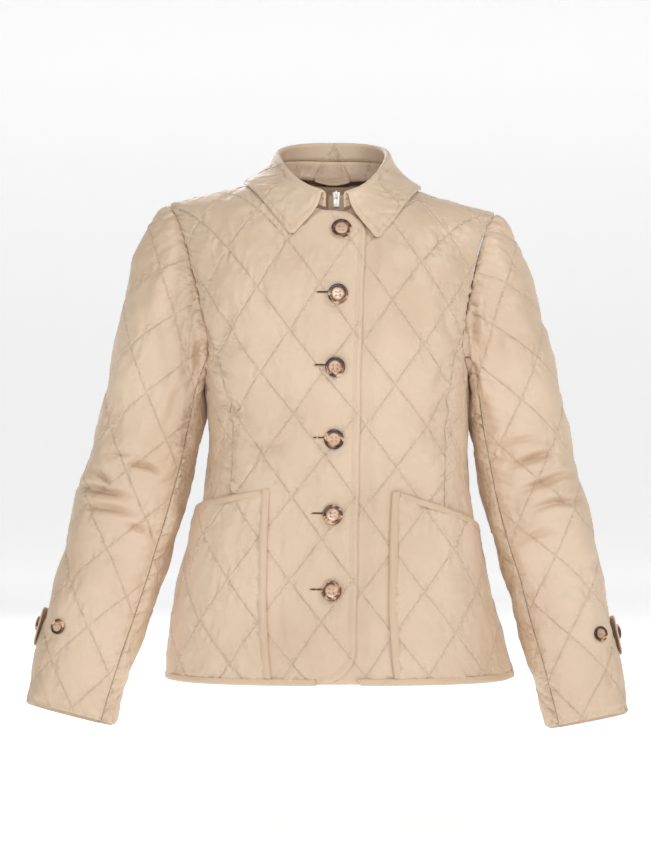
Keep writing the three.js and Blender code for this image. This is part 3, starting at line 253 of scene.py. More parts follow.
SLEEVES = {
    "right": rows(
        "z x y half depth",
        (-272, 220.5, 2, 61, 52),
        (-330, 234.5, 0, 62.5, 51),
        (-387, 251, -3, 63, 50),
        (-445, 267, -8, 61, 48),
        (-502, 284.5, -15, 59.5, 46),
        (-560, 301, -24, 56.5, 43),
        (-626, 318, -35, 53, 40),
    ),
    "left": rows(
        "z x y half depth",
        (-278, 216, 2, 56.5, 51),
        (-335, 226.5, 0, 57.5, 50),
        (-392, 240, -3, 58.5, 49),
        (-450, 256, -8, 57, 47),
        (-508, 269, -15, 54, 45),
        (-566, 283.5, -24, 51.5, 42),
        (-634, 297, -35, 48, 39),
    ),
}
SLEEVE_SEAMS = {"front": 138, "back": -130}
SLEEVE_POWER = 2.15
CAP = {"reach": 0.17, "settle": 0.42, "under": 0.12}
CAP_GAP = -2.4
TAB = {"up": 92, "half": 23, "point": 11, "lift": 2.2, "wall": 2, "gape": 1.6, "row": 4}
CUFF_BUTTON_ANGLE = 52
COLLAR_FOLD = rows(
    "step x y z neck",
    (0, 0, 59, 61, -90),
    (1, 30, 53, 60, -63),
    (2, 54, 34, 55, -37),
    (3, 66, 6, 46, -8),
    (4, 62, -27, 31, 20),
    (5, 50, -56, 13, 45),
    (6, 33, -79, -1, 66),
    (7, 13, -93, -10, 81),
)
COLLAR_EDGE = rows(
    "step x y",
    (0, 0, 73),
    (1, 36, 69),
    (2, 72, 53),
    (3, 98, 26),
    (4, 107, -4),
    (5, 98, -43),
    (6, 77, -81),
    (7, 51, -108),
)
COLLAR = {"thick": 2.4, "fold": 3.6, "lift": 4, "centre": 2.5, "joined": 0.62, "inner": 0.36, "over": 0.52}
POSTURE = {"aside": -5.5, "tilt": -0.03, "foot": -290, "head": -50, "collar": 12, "collar_top": 60}
# Quilting: where two lines cross on the flat piece, and the diamond's width and height where they are its own
LATTICES = {
    "right": (53, -172.7),
    "left": (68, -138.6),
    "back": (0, -172.7),
    "side": (0, -196.9),
    "sleeve_top": (4, 24),
    "sleeve_under": (37, 24),
    "collar": (0, 8),
    "leaf": (3, 8, 159.7, 239.5),
    "tab": (9000, 9000.3),
}
SIDES = {"right": -1, "left": 1}


def posed(p):
    """The worn position of points of the even, upright form."""
    high = smooth(POSTURE["foot"], POSTURE["head"], p[..., 2])
    level = 1 - smooth(POSTURE["collar"], POSTURE["collar_top"], p[..., 2])
    moved = p.copy()
    moved[..., 0] += POSTURE["aside"] * high
    moved[..., 2] += POSTURE["tilt"] * p[..., 0] * high * level
    return moved


body_half, body_front, body_back, body_shift = (
    through(BODY_RINGS, "z", column) for column in ("half", "front", "back", "shift")
)
CHEST = {"half": body_half(CHEST_Z), "front": body_front(CHEST_Z), "back": body_back(CHEST_Z)}


def ridge_z(x):
    """Height of the shoulder line."""
    return SHOULDER["top"] - SHOULDER["slope"] * np.hypot(x, SHOULDER["soft"])


def ring_point(level, angle):
    """A point of a ring of the body, at 90 degrees in front, 0 at the side and -90 behind."""
    level, angle = np.broadcast_arrays(np.asarray(level, float), np.asarray(angle, float))
    low = level <= CHEST_Z
    height = np.clip((level - CHEST_Z) / (TOP_Z - CHEST_Z), 0, 1)
    closing = {
        face: np.maximum(0, 1 - height**squareness) ** (1 / squareness)
        for face, squareness in FACE_POWER.items()
    }
    half = np.where(low, body_half(level), mix(CHEST["half"], SHOULDER["half"], height ** SHOULDER["spread"]))
    front = np.where(low, body_front(level), CHEST["front"] * closing["front"])
    back = np.where(low, body_back(level), CHEST["back"] * closing["back"])
    x = half * signed_power(np.cos(angle), 2 / PLAN_POWER)
    s = signed_power(np.sin(angle), 2 / PLAN_POWER)
    z = np.where(low, level, mix(CHEST_Z, ridge_z(x), height))
    return np.stack([x, np.where(s > 0, -front * s, -back * s), z], -1)


def ring_half(level):
    height = np.clip((level - CHEST_Z) / (TOP_Z - CHEST_Z), 0, 1)
    return np.where(
        level <= CHEST_Z, body_half(level), mix(CHEST["half"], SHOULDER["half"], height ** SHOULDER["spread"])
    )


def angle_at(level, x):
    return np.arccos(np.clip(x / ring_half(level), 0, 1) ** (PLAN_POWER / 2))


# Cloth height: equal to z up to the chest, then measured over the shoulder's curve
def cloth_scale(face):
    f = np.linspace(0, 1, 301)
    height = np.sin(f * math.pi / 2) ** (2 / FACE_POWER[face])
    level = mix(CHEST_Z, TOP_Z, height)
    level[0] = CHEST_Z + 1e-6
    a = angle_at(level, CLOTH_LINE_X)
    line = ring_point(level, a if face == "front" else -a)
    length = CHEST_Z + run_of(line)
    return {
        "top": length[-1],
        "to_cloth": lambda q: np.where(q <= CHEST_Z, q, np.interp(q, level, length)),
        "to_level": lambda q: np.where(q <= CHEST_Z, q, np.interp(q, length, level)),
    }


CLOTH = {face: cloth_scale(face) for face in ("front", "back")}


def evenly(points, columns):
    """Points along each row of a table, set at even lengths, and each row's length."""
    along = run_of(points)
    share = np.linspace(0, 1, columns + 1)
    even = np.empty((len(points), columns + 1, 3))
    for i, (row, run) in enumerate(zip(points, along)):
        for k in range(3):
            even[i, :, k] = np.interp(share * run[-1], run, row[:, k])
    return even, along


def sampled(grid, i, j):
    """Reads a table of points between its rows and columns."""
    i = np.clip(i, 0, grid.shape[0] - 1.000001)
    j = np.clip(j, 0, grid.shape[1] - 1.000001)
    a, b = i.astype(int), j.astype(int)
    s, t = (i - a)[..., None], (j - b)[..., None]
    low = mix(grid[a, b], grid[a, b + 1], t)
    high = mix(grid[a + 1, b], grid[a + 1, b + 1], t)
    return mix(low, high, s)


RING_STEPS = 360
BODY_COLUMNS = 480
BODY_LOW = -592


def body_table(face):
    v = np.linspace(BODY_LOW, CLOTH[face]["top"], 480)
    level = CLOTH[face]["to_level"](v)
    angles = np.linspace(math.pi / 2, -math.pi / 2, RING_STEPS + 1)
    points = ring_point(level[:, None], angles[None, :])
    even, along = evenly(points, BODY_COLUMNS)
    return {"v": v, "even": even, "total": along[:, -1], "side": along[:, RING_STEPS // 2], "level": level}


BODY = {face: body_table(face) for face in ("front", "back")}


def length_at_angle(level, angle):
    """Length along a ring from the centre front to an angle."""
    level, angle = np.broadcast_arrays(np.asarray(level, float), np.asarray(angle, float))
    angles = np.linspace(math.pi / 2, -math.pi / 2, RING_STEPS + 1)
    along = run_of(ring_point(level.ravel()[:, None], angles[None, :]))
    at = (math.pi / 2 - angle.ravel()) / math.pi * RING_STEPS
    found = [np.interp(q, np.arange(RING_STEPS + 1), run) for q, run in zip(at, along)]
    return np.array(found).reshape(level.shape)


def ring_lengths(v, face="front"):
    return tuple(np.interp(v, BODY[face]["v"], BODY[face][key]) for key in ("total", "side"))


def body_point(face, side, u, v):
    """Points of the body form for flat points of a piece. side is -1 for the wearer's right."""
    u, v = np.broadcast_arrays(np.asarray(u, float), np.asarray(v, float))
    name = "back" if face == "back" else "front"
    table, top = BODY[name], CLOTH[name]["top"]
    over = v > top
    v = np.where(over, 2 * top - v, v)
    total, side_length = ring_lengths(v, name)
    along = {"front": u, "side": side_length + u, "back": total - u}[face]
    turned = (along < 0) | (along > total)
    along = np.where(along < 0, -along, np.where(along > total, 2 * total - along, along))
    row = (v - table["v"][0]) / (table["v"][-1] - table["v"][0]) * (len(table["v"]) - 1)
    p = sampled(table["even"], row, along / total * BODY_COLUMNS)
    p[..., 0] *= np.where(turned, -side, side)
    p[..., 0] += np.where(v < CHEST_Z, body_shift(np.minimum(v, CHEST_Z)), 0)
    p[..., 1] *= np.where(over, -1, 1)
    return p


def under_plan(x, y):
    """Cloth level and height of the upper body straight below places in plan."""
    x, y = np.broadcast_arrays(np.asarray(x, float), np.asarray(y, float))
    ahead = y < 0
    full = np.where(ahead, CHEST["front"], CHEST["back"])
    squareness = np.where(ahead, FACE_POWER["front"], FACE_POWER["back"])
    height = np.ones(x.shape)
    for _ in range(8):
        half = mix(CHEST["half"], SHOULDER["half"], height ** SHOULDER["spread"])
        across = np.maximum(1e-9, 1 - (np.abs(x) / half) ** PLAN_POWER) ** (1 / PLAN_POWER)
        height = np.maximum(0, 1 - (np.abs(y) / across / full) ** squareness) ** (1 / squareness)
    level = mix(CHEST_Z, TOP_Z, height)
    return level, mix(CHEST_Z, ridge_z(x), height)


def neck_point(face, turn):
    """Neck seam: turn is 0 at the shoulder and 90 degrees at the centre."""
    turn = np.asarray(turn, float)
    x = NECK["half"] * np.cos(turn)
    y = NECK[face] * np.sin(turn) * (-1 if face == "front" else 1)
    y = np.where(y == 0, -1e-6 if face == "front" else 1e-6, y)
    level, z = under_plan(x, y)
    a = angle_at(level, x)
    length = length_at_angle(level, a if face == "front" else -a)
    return {"point": np.stack([x, y, z], -1), "length": length, "v": CLOTH[face]["to_cloth"](level)}


def centre_cloth(z):
    """Cloth height of a place on the centre front, from its height above the origin."""
    z = np.asarray(z, float)
    level = mix(CHEST_Z, TOP_Z, (z - CHEST_Z) / (ridge_z(0) - CHEST_Z))
    return np.where(z <= CHEST_Z, z, CLOTH["front"]["to_cloth"](level))


def armhole_half(face):
    sign = 1 if face == "front" else -1
    knots = ring_point(ARMHOLE["level"], radians(ARMHOLE[face]) * sign)
    run = run_of(knots)
    marked = {"run": run, "level": ARMHOLE["level"], "angle": radians(ARMHOLE[face]) * sign}
    level_at, angle_of = through(marked, "run", "level"), through(marked, "run", "angle")

    def at(share):
        level = np.clip(level_at(np.asarray(share) * run[-1]), ARMHOLE["level"][-1], TOP_Z)
        angle = angle_of(np.asarray(share) * run[-1])
        angle = np.maximum(0, angle) if face == "front" else np.minimum(0, angle)
        return {
            "level": level,
            "point": ring_point(level, angle),
            "length": length_at_angle(level, angle),
            "v": CLOTH[face]["to_cloth"](level),
        }

    return at


armhole = {face: armhole_half(face) for face in ("front", "back")}
ARMHOLE_SHARES = np.linspace(0, 1, 101)
armhole_rows = {face: armhole[face](ARMHOLE_SHARES) for face in armhole}
coarse_shares = np.linspace(0, 1, 21)
panel_share = {
    face: coarse_shares[np.argmax(armhole[face](coarse_shares)["level"] < PANEL_LEVEL)] for face in armhole
}


def panel_seam(face):
    z = np.linspace(HEM_Z, CHEST_Z, 89)
    a = angle_at(z, through(PANEL_SEAMS, "z", face)(z))
    return np.stack([length_at_angle(z, a if face == "front" else -a), z], -1)


panel_seams = {face: panel_seam(face) for face in armhole}
lean_x = through(BUTTON_LINE, "z", "x")
NECK_TURNS = np.radians(np.linspace(0, 90, 28))
neck_seams = {face: neck_point(face, NECK_TURNS) for face in armhole}


# Outlines of the flat pieces
def front_edge_line(centre, rounded):
    """The front's free edge, from the hem up to the neck."""
    top = float(neck_seams["front"]["v"][-1])
    if not rounded:
        return [(centre(v), v) for v in np.linspace(HEM_Z, top, 60)]
    wide, tall, top_corner = OVERLAP["corner_wide"], OVERLAP["corner_tall"], OVERLAP["top_corner"]
    points = []
    for a in np.radians(np.linspace(0, 90, 22)):
        v = HEM_Z + tall * (1 - math.cos(a))
        points.append((centre(v) + wide * (1 - math.sin(a)), v))
    for v in np.linspace(HEM_Z + tall, top - top_corner, 60)[1:-1]:
        points.append((centre(v), v))
    for a in np.radians(np.linspace(0, 90, 16)):
        v = top - top_corner * (1 - math.sin(a))
        points.append((centre(v) + top_corner * (1 - math.cos(a)), v))
    return points


def front_outline(centre, rounded):
    points = front_edge_line(centre, rounded)
    neck = neck_seams["front"]
    points += [(u, v) for u, v in zip(neck["length"][::-1], neck["v"][::-1]) if u > 4]
    shoulder = armhole_rows["front"]
    start = neck["length"][0]
    for f in np.linspace(0, 1, 20)[1:-1]:
        points.append((mix(start, shoulder["length"][0], f), CLOTH["front"]["top"]))
    upper = ARMHOLE_SHARES <= panel_share["front"] + 1e-9
    points += list(zip(shoulder["length"][upper], shoulder["v"][upper]))
    points += [tuple(p) for p in panel_seams["front"][::-1]]
    return tidy_outline(points)


def side_outline():
    points = []
    for u, v in panel_seams["front"]:
        points.append((u - ring_lengths(v)[1], v))
    for face, order in (("front", 1), ("back", -1)):
        arm = armhole_rows[face]
        lower = np.nonzero(ARMHOLE_SHARES >= panel_share[face] - 1e-9)[0][::order]
        for i in lower:
            v = float(CLOTH["front"]["to_cloth"](arm["level"][i]))
            points.append((arm["length"][i] - ring_lengths(v)[1], v))
    for u, v in panel_seams["back"][::-1]:
        points.append((u - ring_lengths(v)[1], v))
    return tidy_outline(points)


def back_outline():
    half = []

    def place(length, v):
        half.append((ring_lengths(v, "back")[0] - length, v))

    for u, v in panel_seams["back"]:
        place(u, v)
    arm = armhole_rows["back"]
    for i in np.nonzero(ARMHOLE_SHARES <= panel_share["back"] + 1e-9)[0][::-1]:
        place(arm["length"][i], arm["v"][i])
    neck = neck_seams["back"]
    top = CLOTH["back"]["top"]
    for f in np.linspace(0, 1, 20)[1:-1]:
        place(mix(arm["length"][0], neck["length"][0], f), top)
    for u, v in zip(neck["length"], neck["v"]):
        place(u, v)
    right = [p for p in half if p[0] > 0.5]
    left = [(-u, v) for u, v in right[::-1]]
    return tidy_outline(right + [(0, half[-1][1])] + left)


def tidy_outline(points, apart=0.25):
    """Drops repeated points and turns the outline anticlockwise."""
    kept = [np.array(points[0], float)]
    for p in points[1:]:
        if np.hypot(*(np.array(p, float) - kept[-1])) > apart:
            kept.append(np.array(p, float))
    if np.hypot(*(kept[0] - kept[-1])) < apart:
        kept.pop()
    outline = np.array(kept)
    return outline[::-1] if area_of(outline) < 0 else outline


def area_of(outline):
    x, y = outline[:, 0], outline[:, 1]
    return 0.5 * float(np.sum(x * np.roll(y, -1) - np.roll(x, -1) * y))


def pocket_line(name):
    """The pocket's mouth, as cloth height against the distance from the centre, and its far end."""
    pocket = POCKETS[name]
    seam = panel_seams["back"]
    far = float(np.interp(pocket["back_top"], seam[:, 1], seam[:, 0])) - 1.5

    def top(u):
        f = np.clip((u - pocket["edge"]) / (far - pocket["edge"]), 0, 1)
        return mix(pocket["front_top"], pocket["back_top"], f) - 5 * np.sin(math.pi * f)

    return top, far


def pocket_outline(name):
    pocket = POCKETS[name]
    seam = panel_seams["back"]
    top, far = pocket_line(name)
    points = [(pocket["edge"], v) for v in np.linspace(HEM_Z + 0.4, pocket["front_top"], 40)]
    points += [(u, float(top(u))) for u in np.linspace(pocket["edge"], far, 60)[1:]]
    for v in np.linspace(pocket["back_top"], HEM_Z + 0.4, 50)[1:]:
        points.append((float(np.interp(v, seam[:, 1], seam[:, 0])) - 1.5, v))
    return tidy_outline(points)


# Sleeves: rings square to the arm, joined to the armhole by a curved sleeve head
SLEEVE_COLUMNS = 720
HEAD_COLUMNS = 80


def sleeve_form(name):
    side, table = SIDES[name], SLEEVES[name]
    centres = np.stack([side * table["x"], table["y"], table["z"]], -1)
    run = run_of(centres)
    marked = {"s": run, "x": side * table["x"], **{k: table[k] for k in ("y", "z", "half", "depth")}}
    at = {k: through(marked, "s", k) for k in ("x", "y", "z", "half", "depth")}

    def centre(s):
        return np.stack([at["x"](s), at["y"](s), at["z"](s)], -1)

    def on_ring(s, angle):
        s, angle = np.broadcast_arrays(np.asarray(s, float), np.asarray(angle, float))
        down = unit(centre(s + 2) - centre(s - 2))
        outer = unit(np.cross([0, -1, 0], down)) * side
        ahead = np.cross(down, outer) * side
        across = at["half"](s) * signed_power(np.cos(angle), 2 / SLEEVE_POWER)
        deep = at["depth"](s) * signed_power(np.sin(angle), 2 / SLEEVE_POWER)
        return centre(s) + outer * across[..., None] + ahead * deep[..., None]

    s = np.linspace(-3, run[-1] + 4, 300)
    angles = np.linspace(-math.pi, math.pi, SLEEVE_COLUMNS + 1)
    points = on_ring(s[:, None], angles[None, :])
    even, along = evenly(points, SLEEVE_COLUMNS)
    total, zero = along[:, -1], along[:, SLEEVE_COLUMNS // 2]
    first_along = run_of(on_ring(0, angles))

    def length_at(s_q, angle):
        """Length round a ring from the top of the arm, positive forward."""
        s_q, angle = np.broadcast_arrays(np.asarray(s_q, float), np.asarray(angle, float))
        whole = np.floor((angle + math.pi) / (2 * math.pi))
        part = (angle + math.pi) / (2 * math.pi) - whole
        row = (s_q - s[0]) / (s[-1] - s[0]) * (len(s) - 1)
        inner = sampled(along[..., None], row, part * SLEEVE_COLUMNS)[..., 0]
        return whole * np.interp(s_q, s, total) + inner - np.interp(s_q, s, zero)

    turns = angles
    share = np.minimum(1, np.abs(turns) / math.pi)
    start = np.where(turns[:, None] > 0, armhole["front"](share)["point"], armhole["back"](share)["point"])
    start[:, 0] *= side
    end = on_ring(0, turns)
    span = np.linalg.norm(end - start, axis=1)[:, None]
    sink = -0.3 - 0.3 * np.abs(np.sin(turns / 2))
    out = unit(np.stack([np.full(len(turns), side * 0.9), -0.25 * np.sin(turns), sink], -1))
    into = unit(on_ring(0.5, turns) - end)
    reach = mix(CAP["reach"], CAP["under"], np.abs(turns) / math.pi)[:, None]
    knots = [start, start + out * span * reach, end - into * span * CAP["settle"], end]
    t = np.linspace(0, 1, HEAD_COLUMNS + 1)[None, :, None]
    weights = ((1 - t) ** 3, 3 * t * (1 - t) ** 2, 3 * t * t * (1 - t), t**3)
    curve = sum(weight * knot[:, None, :] for weight, knot in zip(weights, knots))
    head_even, head_along = evenly(curve, HEAD_COLUMNS)
    head_length = head_along[:, -1]

    def head_rise(angle):
        wrapped_angle = angle - 2 * math.pi * np.round(angle / (2 * math.pi))
        return np.interp(wrapped_angle, turns, head_length)

    def point(u, v):
        u, v = np.broadcast_arrays(np.asarray(u, float), np.asarray(v, float))
        down = np.maximum(0, -v)
        full = u + np.interp(down, s, zero)
        row = (down - s[0]) / (s[-1] - s[0]) * (len(s) - 1)
        column = np.mod(full / np.interp(down, s, total), 1) * SLEEVE_COLUMNS
        arm = sampled(even, row, column)
        whole = first_along[-1]
        angle = np.interp(np.mod(u + first_along[SLEEVE_COLUMNS // 2], whole), first_along, turns)
        head_column = (angle + math.pi) / (2 * math.pi) * SLEEVE_COLUMNS
        length = np.interp(angle, turns, head_length)
        beyond = v / length
        head = sampled(head_even, head_column, np.clip(1 - beyond, 0, 1) * HEAD_COLUMNS)
        first, second = (sampled(head_even, head_column, np.full(u.shape, at)) for at in (0.0, 1.0))
        head = head - unit(second - first) * np.maximum(0, v - length)[..., None]
        return np.where((v > 0)[..., None], head, arm)

    return {"point": point, "length_at": length_at, "rise": head_rise, "length": run[-1], "side": side}


sleeve_forms = {name: sleeve_form(name) for name in SIDES}


def sleeve_outline(form, start, stop, middle):
    points = []
    low, high = radians(start), radians(stop)
    centre = radians(middle)

    def add(s, angle, v):
        points.append((float(form["length_at"](s, angle) - form["length_at"](s, centre)), float(v)))

    def rise(angle):
        return form["rise"](angle) - CAP_GAP / 2

    for f in np.linspace(0, 1, 120):
        add(form["length"] * (1 - f), high, -form["length"] * (1 - f))
    for f in np.linspace(0, 1, 22)[1:-1]:
        add(0, high, rise(high) * math.sqrt(f))
    for f in np.linspace(0, 1, 110):
        angle = mix(high, low, f)
        add(0, angle, rise(angle))
    for f in np.linspace(0, 1, 22)[1:-1]:
        add(0, low, rise(low) * math.sqrt(1 - f))
    for f in np.linspace(0, 1, 120):
        add(form["length"] * f, low, -form["length"] * f)
    return tidy_outline(points, 0.4)


# Collar: from the neck seam up to the fold and down to the outer edge
fold_at = {k: through(COLLAR_FOLD, "step", k) for k in ("x", "y", "z", "neck")}
edge_at = {k: through(COLLAR_EDGE, "step", k) for k in ("x", "y")}
LAST_STEP = 7
neck_turn_fine = np.radians(np.linspace(0, 90, 181))
neck_fine = {face: neck_point(face, neck_turn_fine)["point"] for face in armhole}


def collar_line(a):
    """Neck, fold and edge of the collar at a, from -1 to 1 round the neck, and the way it falls."""
    side = np.where(a < 0, -1, 1)
    step = np.abs(a) * LAST_STEP
    shift = COLLAR["centre"] * smooth(4.5, LAST_STEP, step)
    turn = np.radians(fold_at["neck"](step))
    neck = np.empty(a.shape + (3,))
    for k in range(3):
        ahead = np.interp(np.abs(turn), neck_turn_fine, neck_fine["front"][:, k])
        behind = np.interp(np.abs(turn), neck_turn_fine, neck_fine["back"][:, k])
        neck[..., k] = np.where(turn < 0, behind, ahead)
    fold = np.stack([fold_at["x"](step) * side + shift, fold_at["y"](step), fold_at["z"](step)], -1)
    neck[..., 0] = neck[..., 0] * side + shift
    x, y = edge_at["x"](step) * side + shift, edge_at["y"](step)
    edge = np.stack([x, y, under_plan(x, y)[1] + COLLAR["lift"]], -1)
    out = unit((edge - fold) * np.array([1, 1, 0]))
    return neck, fold, edge, out


def collar_point(a, b):
    """Points of the collar: b is 0 at the neck and 1 at the leaf's edge."""
    a, b = np.broadcast_arrays(np.asarray(a, float), np.asarray(b, float))
    neck, fold, edge, out = collar_line(a)
    up = np.array([0, 0, 1])
    r, inner_end, over_end = COLLAR["fold"], COLLAR["inner"], COLLAR["over"]
    heart = fold - up * r
    inner, outer = heart - out * r, heart + out * r
    b3 = b[..., None]
    start = mix(neck, inner, 0.02)
    rising = mix(start, inner, np.clip(b3 / inner_end, -0.1, 1))
    turn = np.clip((b3 - inner_end) / (over_end - inner_end), 0, 1) * math.pi
    folding = heart - out * r * np.cos(turn) + up * r * np.sin(turn)
    t = np.clip((b3 - over_end) / (1 - over_end), 0, 1.05)
    drop = (outer - edge)[..., 2:3]
    below = outer - up * 0.42 * drop + out * 0.05 * drop
    flat_out = mix(outer, edge, 0.72) + up * 0.06 * drop
    falling = (1 - t) ** 3 * outer + 3 * t * (1 - t) ** 2 * below
    falling = falling + 3 * t * t * (1 - t) * flat_out + t**3 * edge
    rest = under_plan(falling[..., 0], falling[..., 1])[1] + COLLAR["lift"]
    falling[..., 2] = np.maximum(falling[..., 2], rest)
    return np.where(b3 <= inner_end, rising, np.where(b3 <= over_end, folding, falling))


share = np.linspace(-1, 1, 61)
COLLAR_LONG = float(np.sum(np.linalg.norm(np.diff(collar_point(share, 0.7), axis=0), axis=1)))
COLLAR_SCALE = 1.45 * 74
COLLAR_ZERO = 0.3


def collar_form(u, v):
    return collar_point(np.asarray(u) / (COLLAR_LONG / 2), COLLAR_ZERO + np.asarray(v) / COLLAR_SCALE)


# Folds at listed places. Each runs between two places of the front view, in pixels of a 651 x 868 picture,
# and shows where the cloth faces the front (-1) or the back (1).
def seen(p):
    """Where worn points show in the front view."""
    away = CAMERA["away"] / (CAMERA["away"] + p[..., 1]) / CAMERA["scale"]
    x = CAMERA["wide"] / 2 + (p[..., 0] - CAMERA["x"]) * away
    y = CAMERA["tall"] / 2 - (p[..., 2] - CAMERA["z"]) * away
    return x, y


FOLDS = {
    "body": rows(
        "x0 y0 x1 y1 deep wide face",
        (204, 384, 252, 420, 1.6, 5, -1),
        (206, 400, 240, 436, 1.2, 4.5, -1),
        (206, 352, 232, 380, 1.2, 4, -1),
        (456, 350, 428, 392, 1.3, 5, -1),
        (462, 392, 430, 412, 1.4, 5, -1),
        (460, 420, 420, 446, 1.0, 6, -1),
        (300, 430, 258, 448, 0.8, 6, -1),
        (230, 300, 222, 344, 1.0, 5, -1),
        (446, 300, 452, 344, 0.9, 5, -1),
        (214, 440, 300, 452, 0.8, 7, -1),
        (460, 446, 372, 462, 0.8, 7, -1),
        (205, 380, 262, 412, 1.6, 6, 1),
        (208, 404, 280, 424, 1.2, 6, 1),
        (462, 380, 404, 412, 1.6, 6, 1),
        (460, 404, 390, 424, 1.2, 6, 1),
        (190, 280, 214, 350, 1.3, 6, 1),
        (478, 280, 452, 350, 1.3, 6, 1),
        (250, 440, 420, 446, 1.0, 9, 1),
    ),
    "right": rows(
        "x0 y0 x1 y1 deep wide face",
        (198, 322, 196, 372, 2.4, 2.6, -1),
        (192, 296, 187, 356, 2.2, 2.8, -1),
        (201, 352, 186, 392, 2.0, 2.6, -1),
        (106, 452, 140, 460, 1.6, 4, -1),
        (80, 484, 130, 499, 3.6, 3.6, -1),
        (88, 505, 140, 514, 3.2, 3.8, -1),
        (118, 464, 162, 471, 2.8, 3.4, -1),
        (122, 520, 158, 538, 2.6, 3.4, -1),
        (96, 466, 112, 486, 2.4, 3.2, -1),
        (100, 562, 130, 556, 1.1, 5, -1),
        (92, 590, 128, 596, 0.9, 5, -1),
        (186, 300, 180, 372, 2.2, 6, -1),
        (176, 268, 170, 350, 1.8, 7, -1),
        (160, 300, 158, 380, 1.2, 8, -1),
        (194, 330, 190, 386, 1.8, 5, -1),
        (182, 380, 168, 430, 1.6, 5, -1),
        (150, 250, 140, 320, 0.9, 9, -1),
        (84, 480, 140, 500, 2.2, 7, 1),
        (92, 510, 150, 516, 1.8, 7, 1),
        (180, 280, 170, 370, 2.0, 8, 1),
        (160, 260, 150, 360, 1.3, 9, 1),
        (110, 560, 140, 570, 1.0, 6, 1),
    ),
    "left": rows(
        "x0 y0 x1 y1 deep wide face",
        (466, 322, 468, 372, 2.4, 2.6, -1),
        (473, 296, 477, 352, 2.2, 2.8, -1),
        (464, 350, 480, 394, 2.0, 2.6, -1),
        (508, 468, 558, 452, 3.4, 3.6, -1),
        (518, 490, 572, 474, 3.4, 3.8, -1),
        (500, 444, 542, 436, 2.4, 3.4, -1),
        (528, 513, 580, 496, 2.7, 3.6, -1),
        (516, 540, 560, 528, 2.2, 3.6, -1),
        (474, 300, 478, 376, 2.0, 6, -1),
        (484, 270, 488, 350, 1.6, 7, -1),
        (470, 340, 474, 396, 1.8, 5, -1),
        (502, 290, 506, 380, 1.1, 8, -1),
        (480, 386, 494, 436, 1.6, 5, -1),
        (560, 590, 598, 582, 1.0, 5, -1),
        (545, 620, 580, 612, 0.9, 5, -1),
        (510, 480, 570, 468, 2.2, 7, 1),
        (520, 510, 580, 496, 1.8, 7, 1),
        (480, 280, 490, 370, 2.0, 8, 1),
        (500, 270, 508, 360, 1.3, 9, 1),
        (536, 570, 570, 566, 1.0, 6, 1),
    ),
}
FOLD_DEPTH = 2.4
RIPPLE = {"wide": 1.6, "small": 0.9, "wide_size": 95, "small_size": 36}


def drape(p, normal, part):
    """How far the cloth lies off its even form: a slow unevenness and the listed folds."""
    x, y, z = (p[..., k] for k in range(3))
    wide, small = RIPPLE["wide_size"], RIPPLE["small_size"]
    off = RIPPLE["wide"] * noise(3, x / wide, y / wide, z / wide)
    off = off + RIPPLE["small"] * noise(4, x / small, y / small, z / small)
    if part not in FOLDS:
        return off * 0.35
    folds = FOLDS[part]
    px, py = seen(p)
    for i, (x0, y0, x1, y1, deep, wide, face) in enumerate(zip(*folds.values())):
        dx, dy = x1 - x0, y1 - y0
        long = math.hypot(dx, dy)
        t = ((px - x0) * dx + (py - y0) * dy) / long**2
        near = (t > -0.25) & (t < 1.25)
        across = ((px - x0) * dy - (py - y0) * dx) / long
        across = across + wide * 0.7 * noise(31 + i, t * long / 24)
        taper = np.clip(np.sin(math.pi * np.clip(mix(0.12, 0.88, t), 0, 1)), 0, 1) ** 1.5
        taper = taper * smooth(-0.25, 0.1, t) * (1 - smooth(0.9, 1.25, t))
        uneven = 1 + 0.3 * noise(61 + i, t * long / 15)
        bank = np.exp(-(((np.abs(across) - 2.1 * wide) / (1.3 * wide)) ** 2))
        trough = np.exp(-((across / wide) ** 2)) - 0.42 * bank
        facing = smooth(-0.15, 0.35, normal[..., 1] * face)
        off = off - np.where(near, FOLD_DEPTH * deep * trough * taper * uneven * facing, 0)
    return off


# Where cloth lies: a height above its form, along the way the form faces
REACH = 1.5


def facing_of(form, u, v):
    across = form(u + REACH, v) - form(u - REACH, v)
    up = form(u, v + REACH) - form(u, v - REACH)
    return unit(np.cross(across, up))


def raised(form, outward, part, u, v, w):
    """Worn points that lie w above an even form, with its folds. outward is 1 or -1."""
    normal = facing_of(form, u, v) * outward
    base = form(u, v)
    return posed(base + normal * (w + drape(posed(base), normal, part))[..., None])


# Cutting and quilting
GROOVE = {"deep": 0.9, "wide": 0.85}
PUCKER = {"high": 1.3, "pitch": 5.6, "reach": 9, "crease": 1.5, "apart": 12}
SEAM = {"drop": 1.7, "roll": 3.0, "fade": 12}
SEAM_PUCKER = {"high": 1.7, "pitch": 6, "reach": 13, "crease": 2.6, "apart": 10.5}
ROW = {"deep": 0.5, "wide": 0.75}
CRUMPLE = {"high": 0.75, "size": 17}
FINE = (0, 0.7, 1.6, 2.8, 4.4)
COARSE_STEP = 2.4
INSIDE_STEP = 5.2
EDGE_STEP = 2.4


def quilt_size(lattice):
    return lattice[2:] if len(lattice) > 2 else (QUILT["wide"], QUILT["tall"])


def quilt_lines(lattice, u, v):
    wide, tall = quilt_size(lattice)
    across, up = (u - lattice[0]) / wide, (v - lattice[1]) / tall
    return across + up, across - up


def flat_of(lattice, a, b):
    wide, tall = quilt_size(lattice)
    return lattice[0] + (a + b) * wide / 2, lattice[1] + (a - b) * tall / 2


def creased(wave):
    """Narrow troughs where a slow wave passes through nought."""
    return np.clip(1 - np.abs(wave) * 4.5, 0, 1) ** 1.4


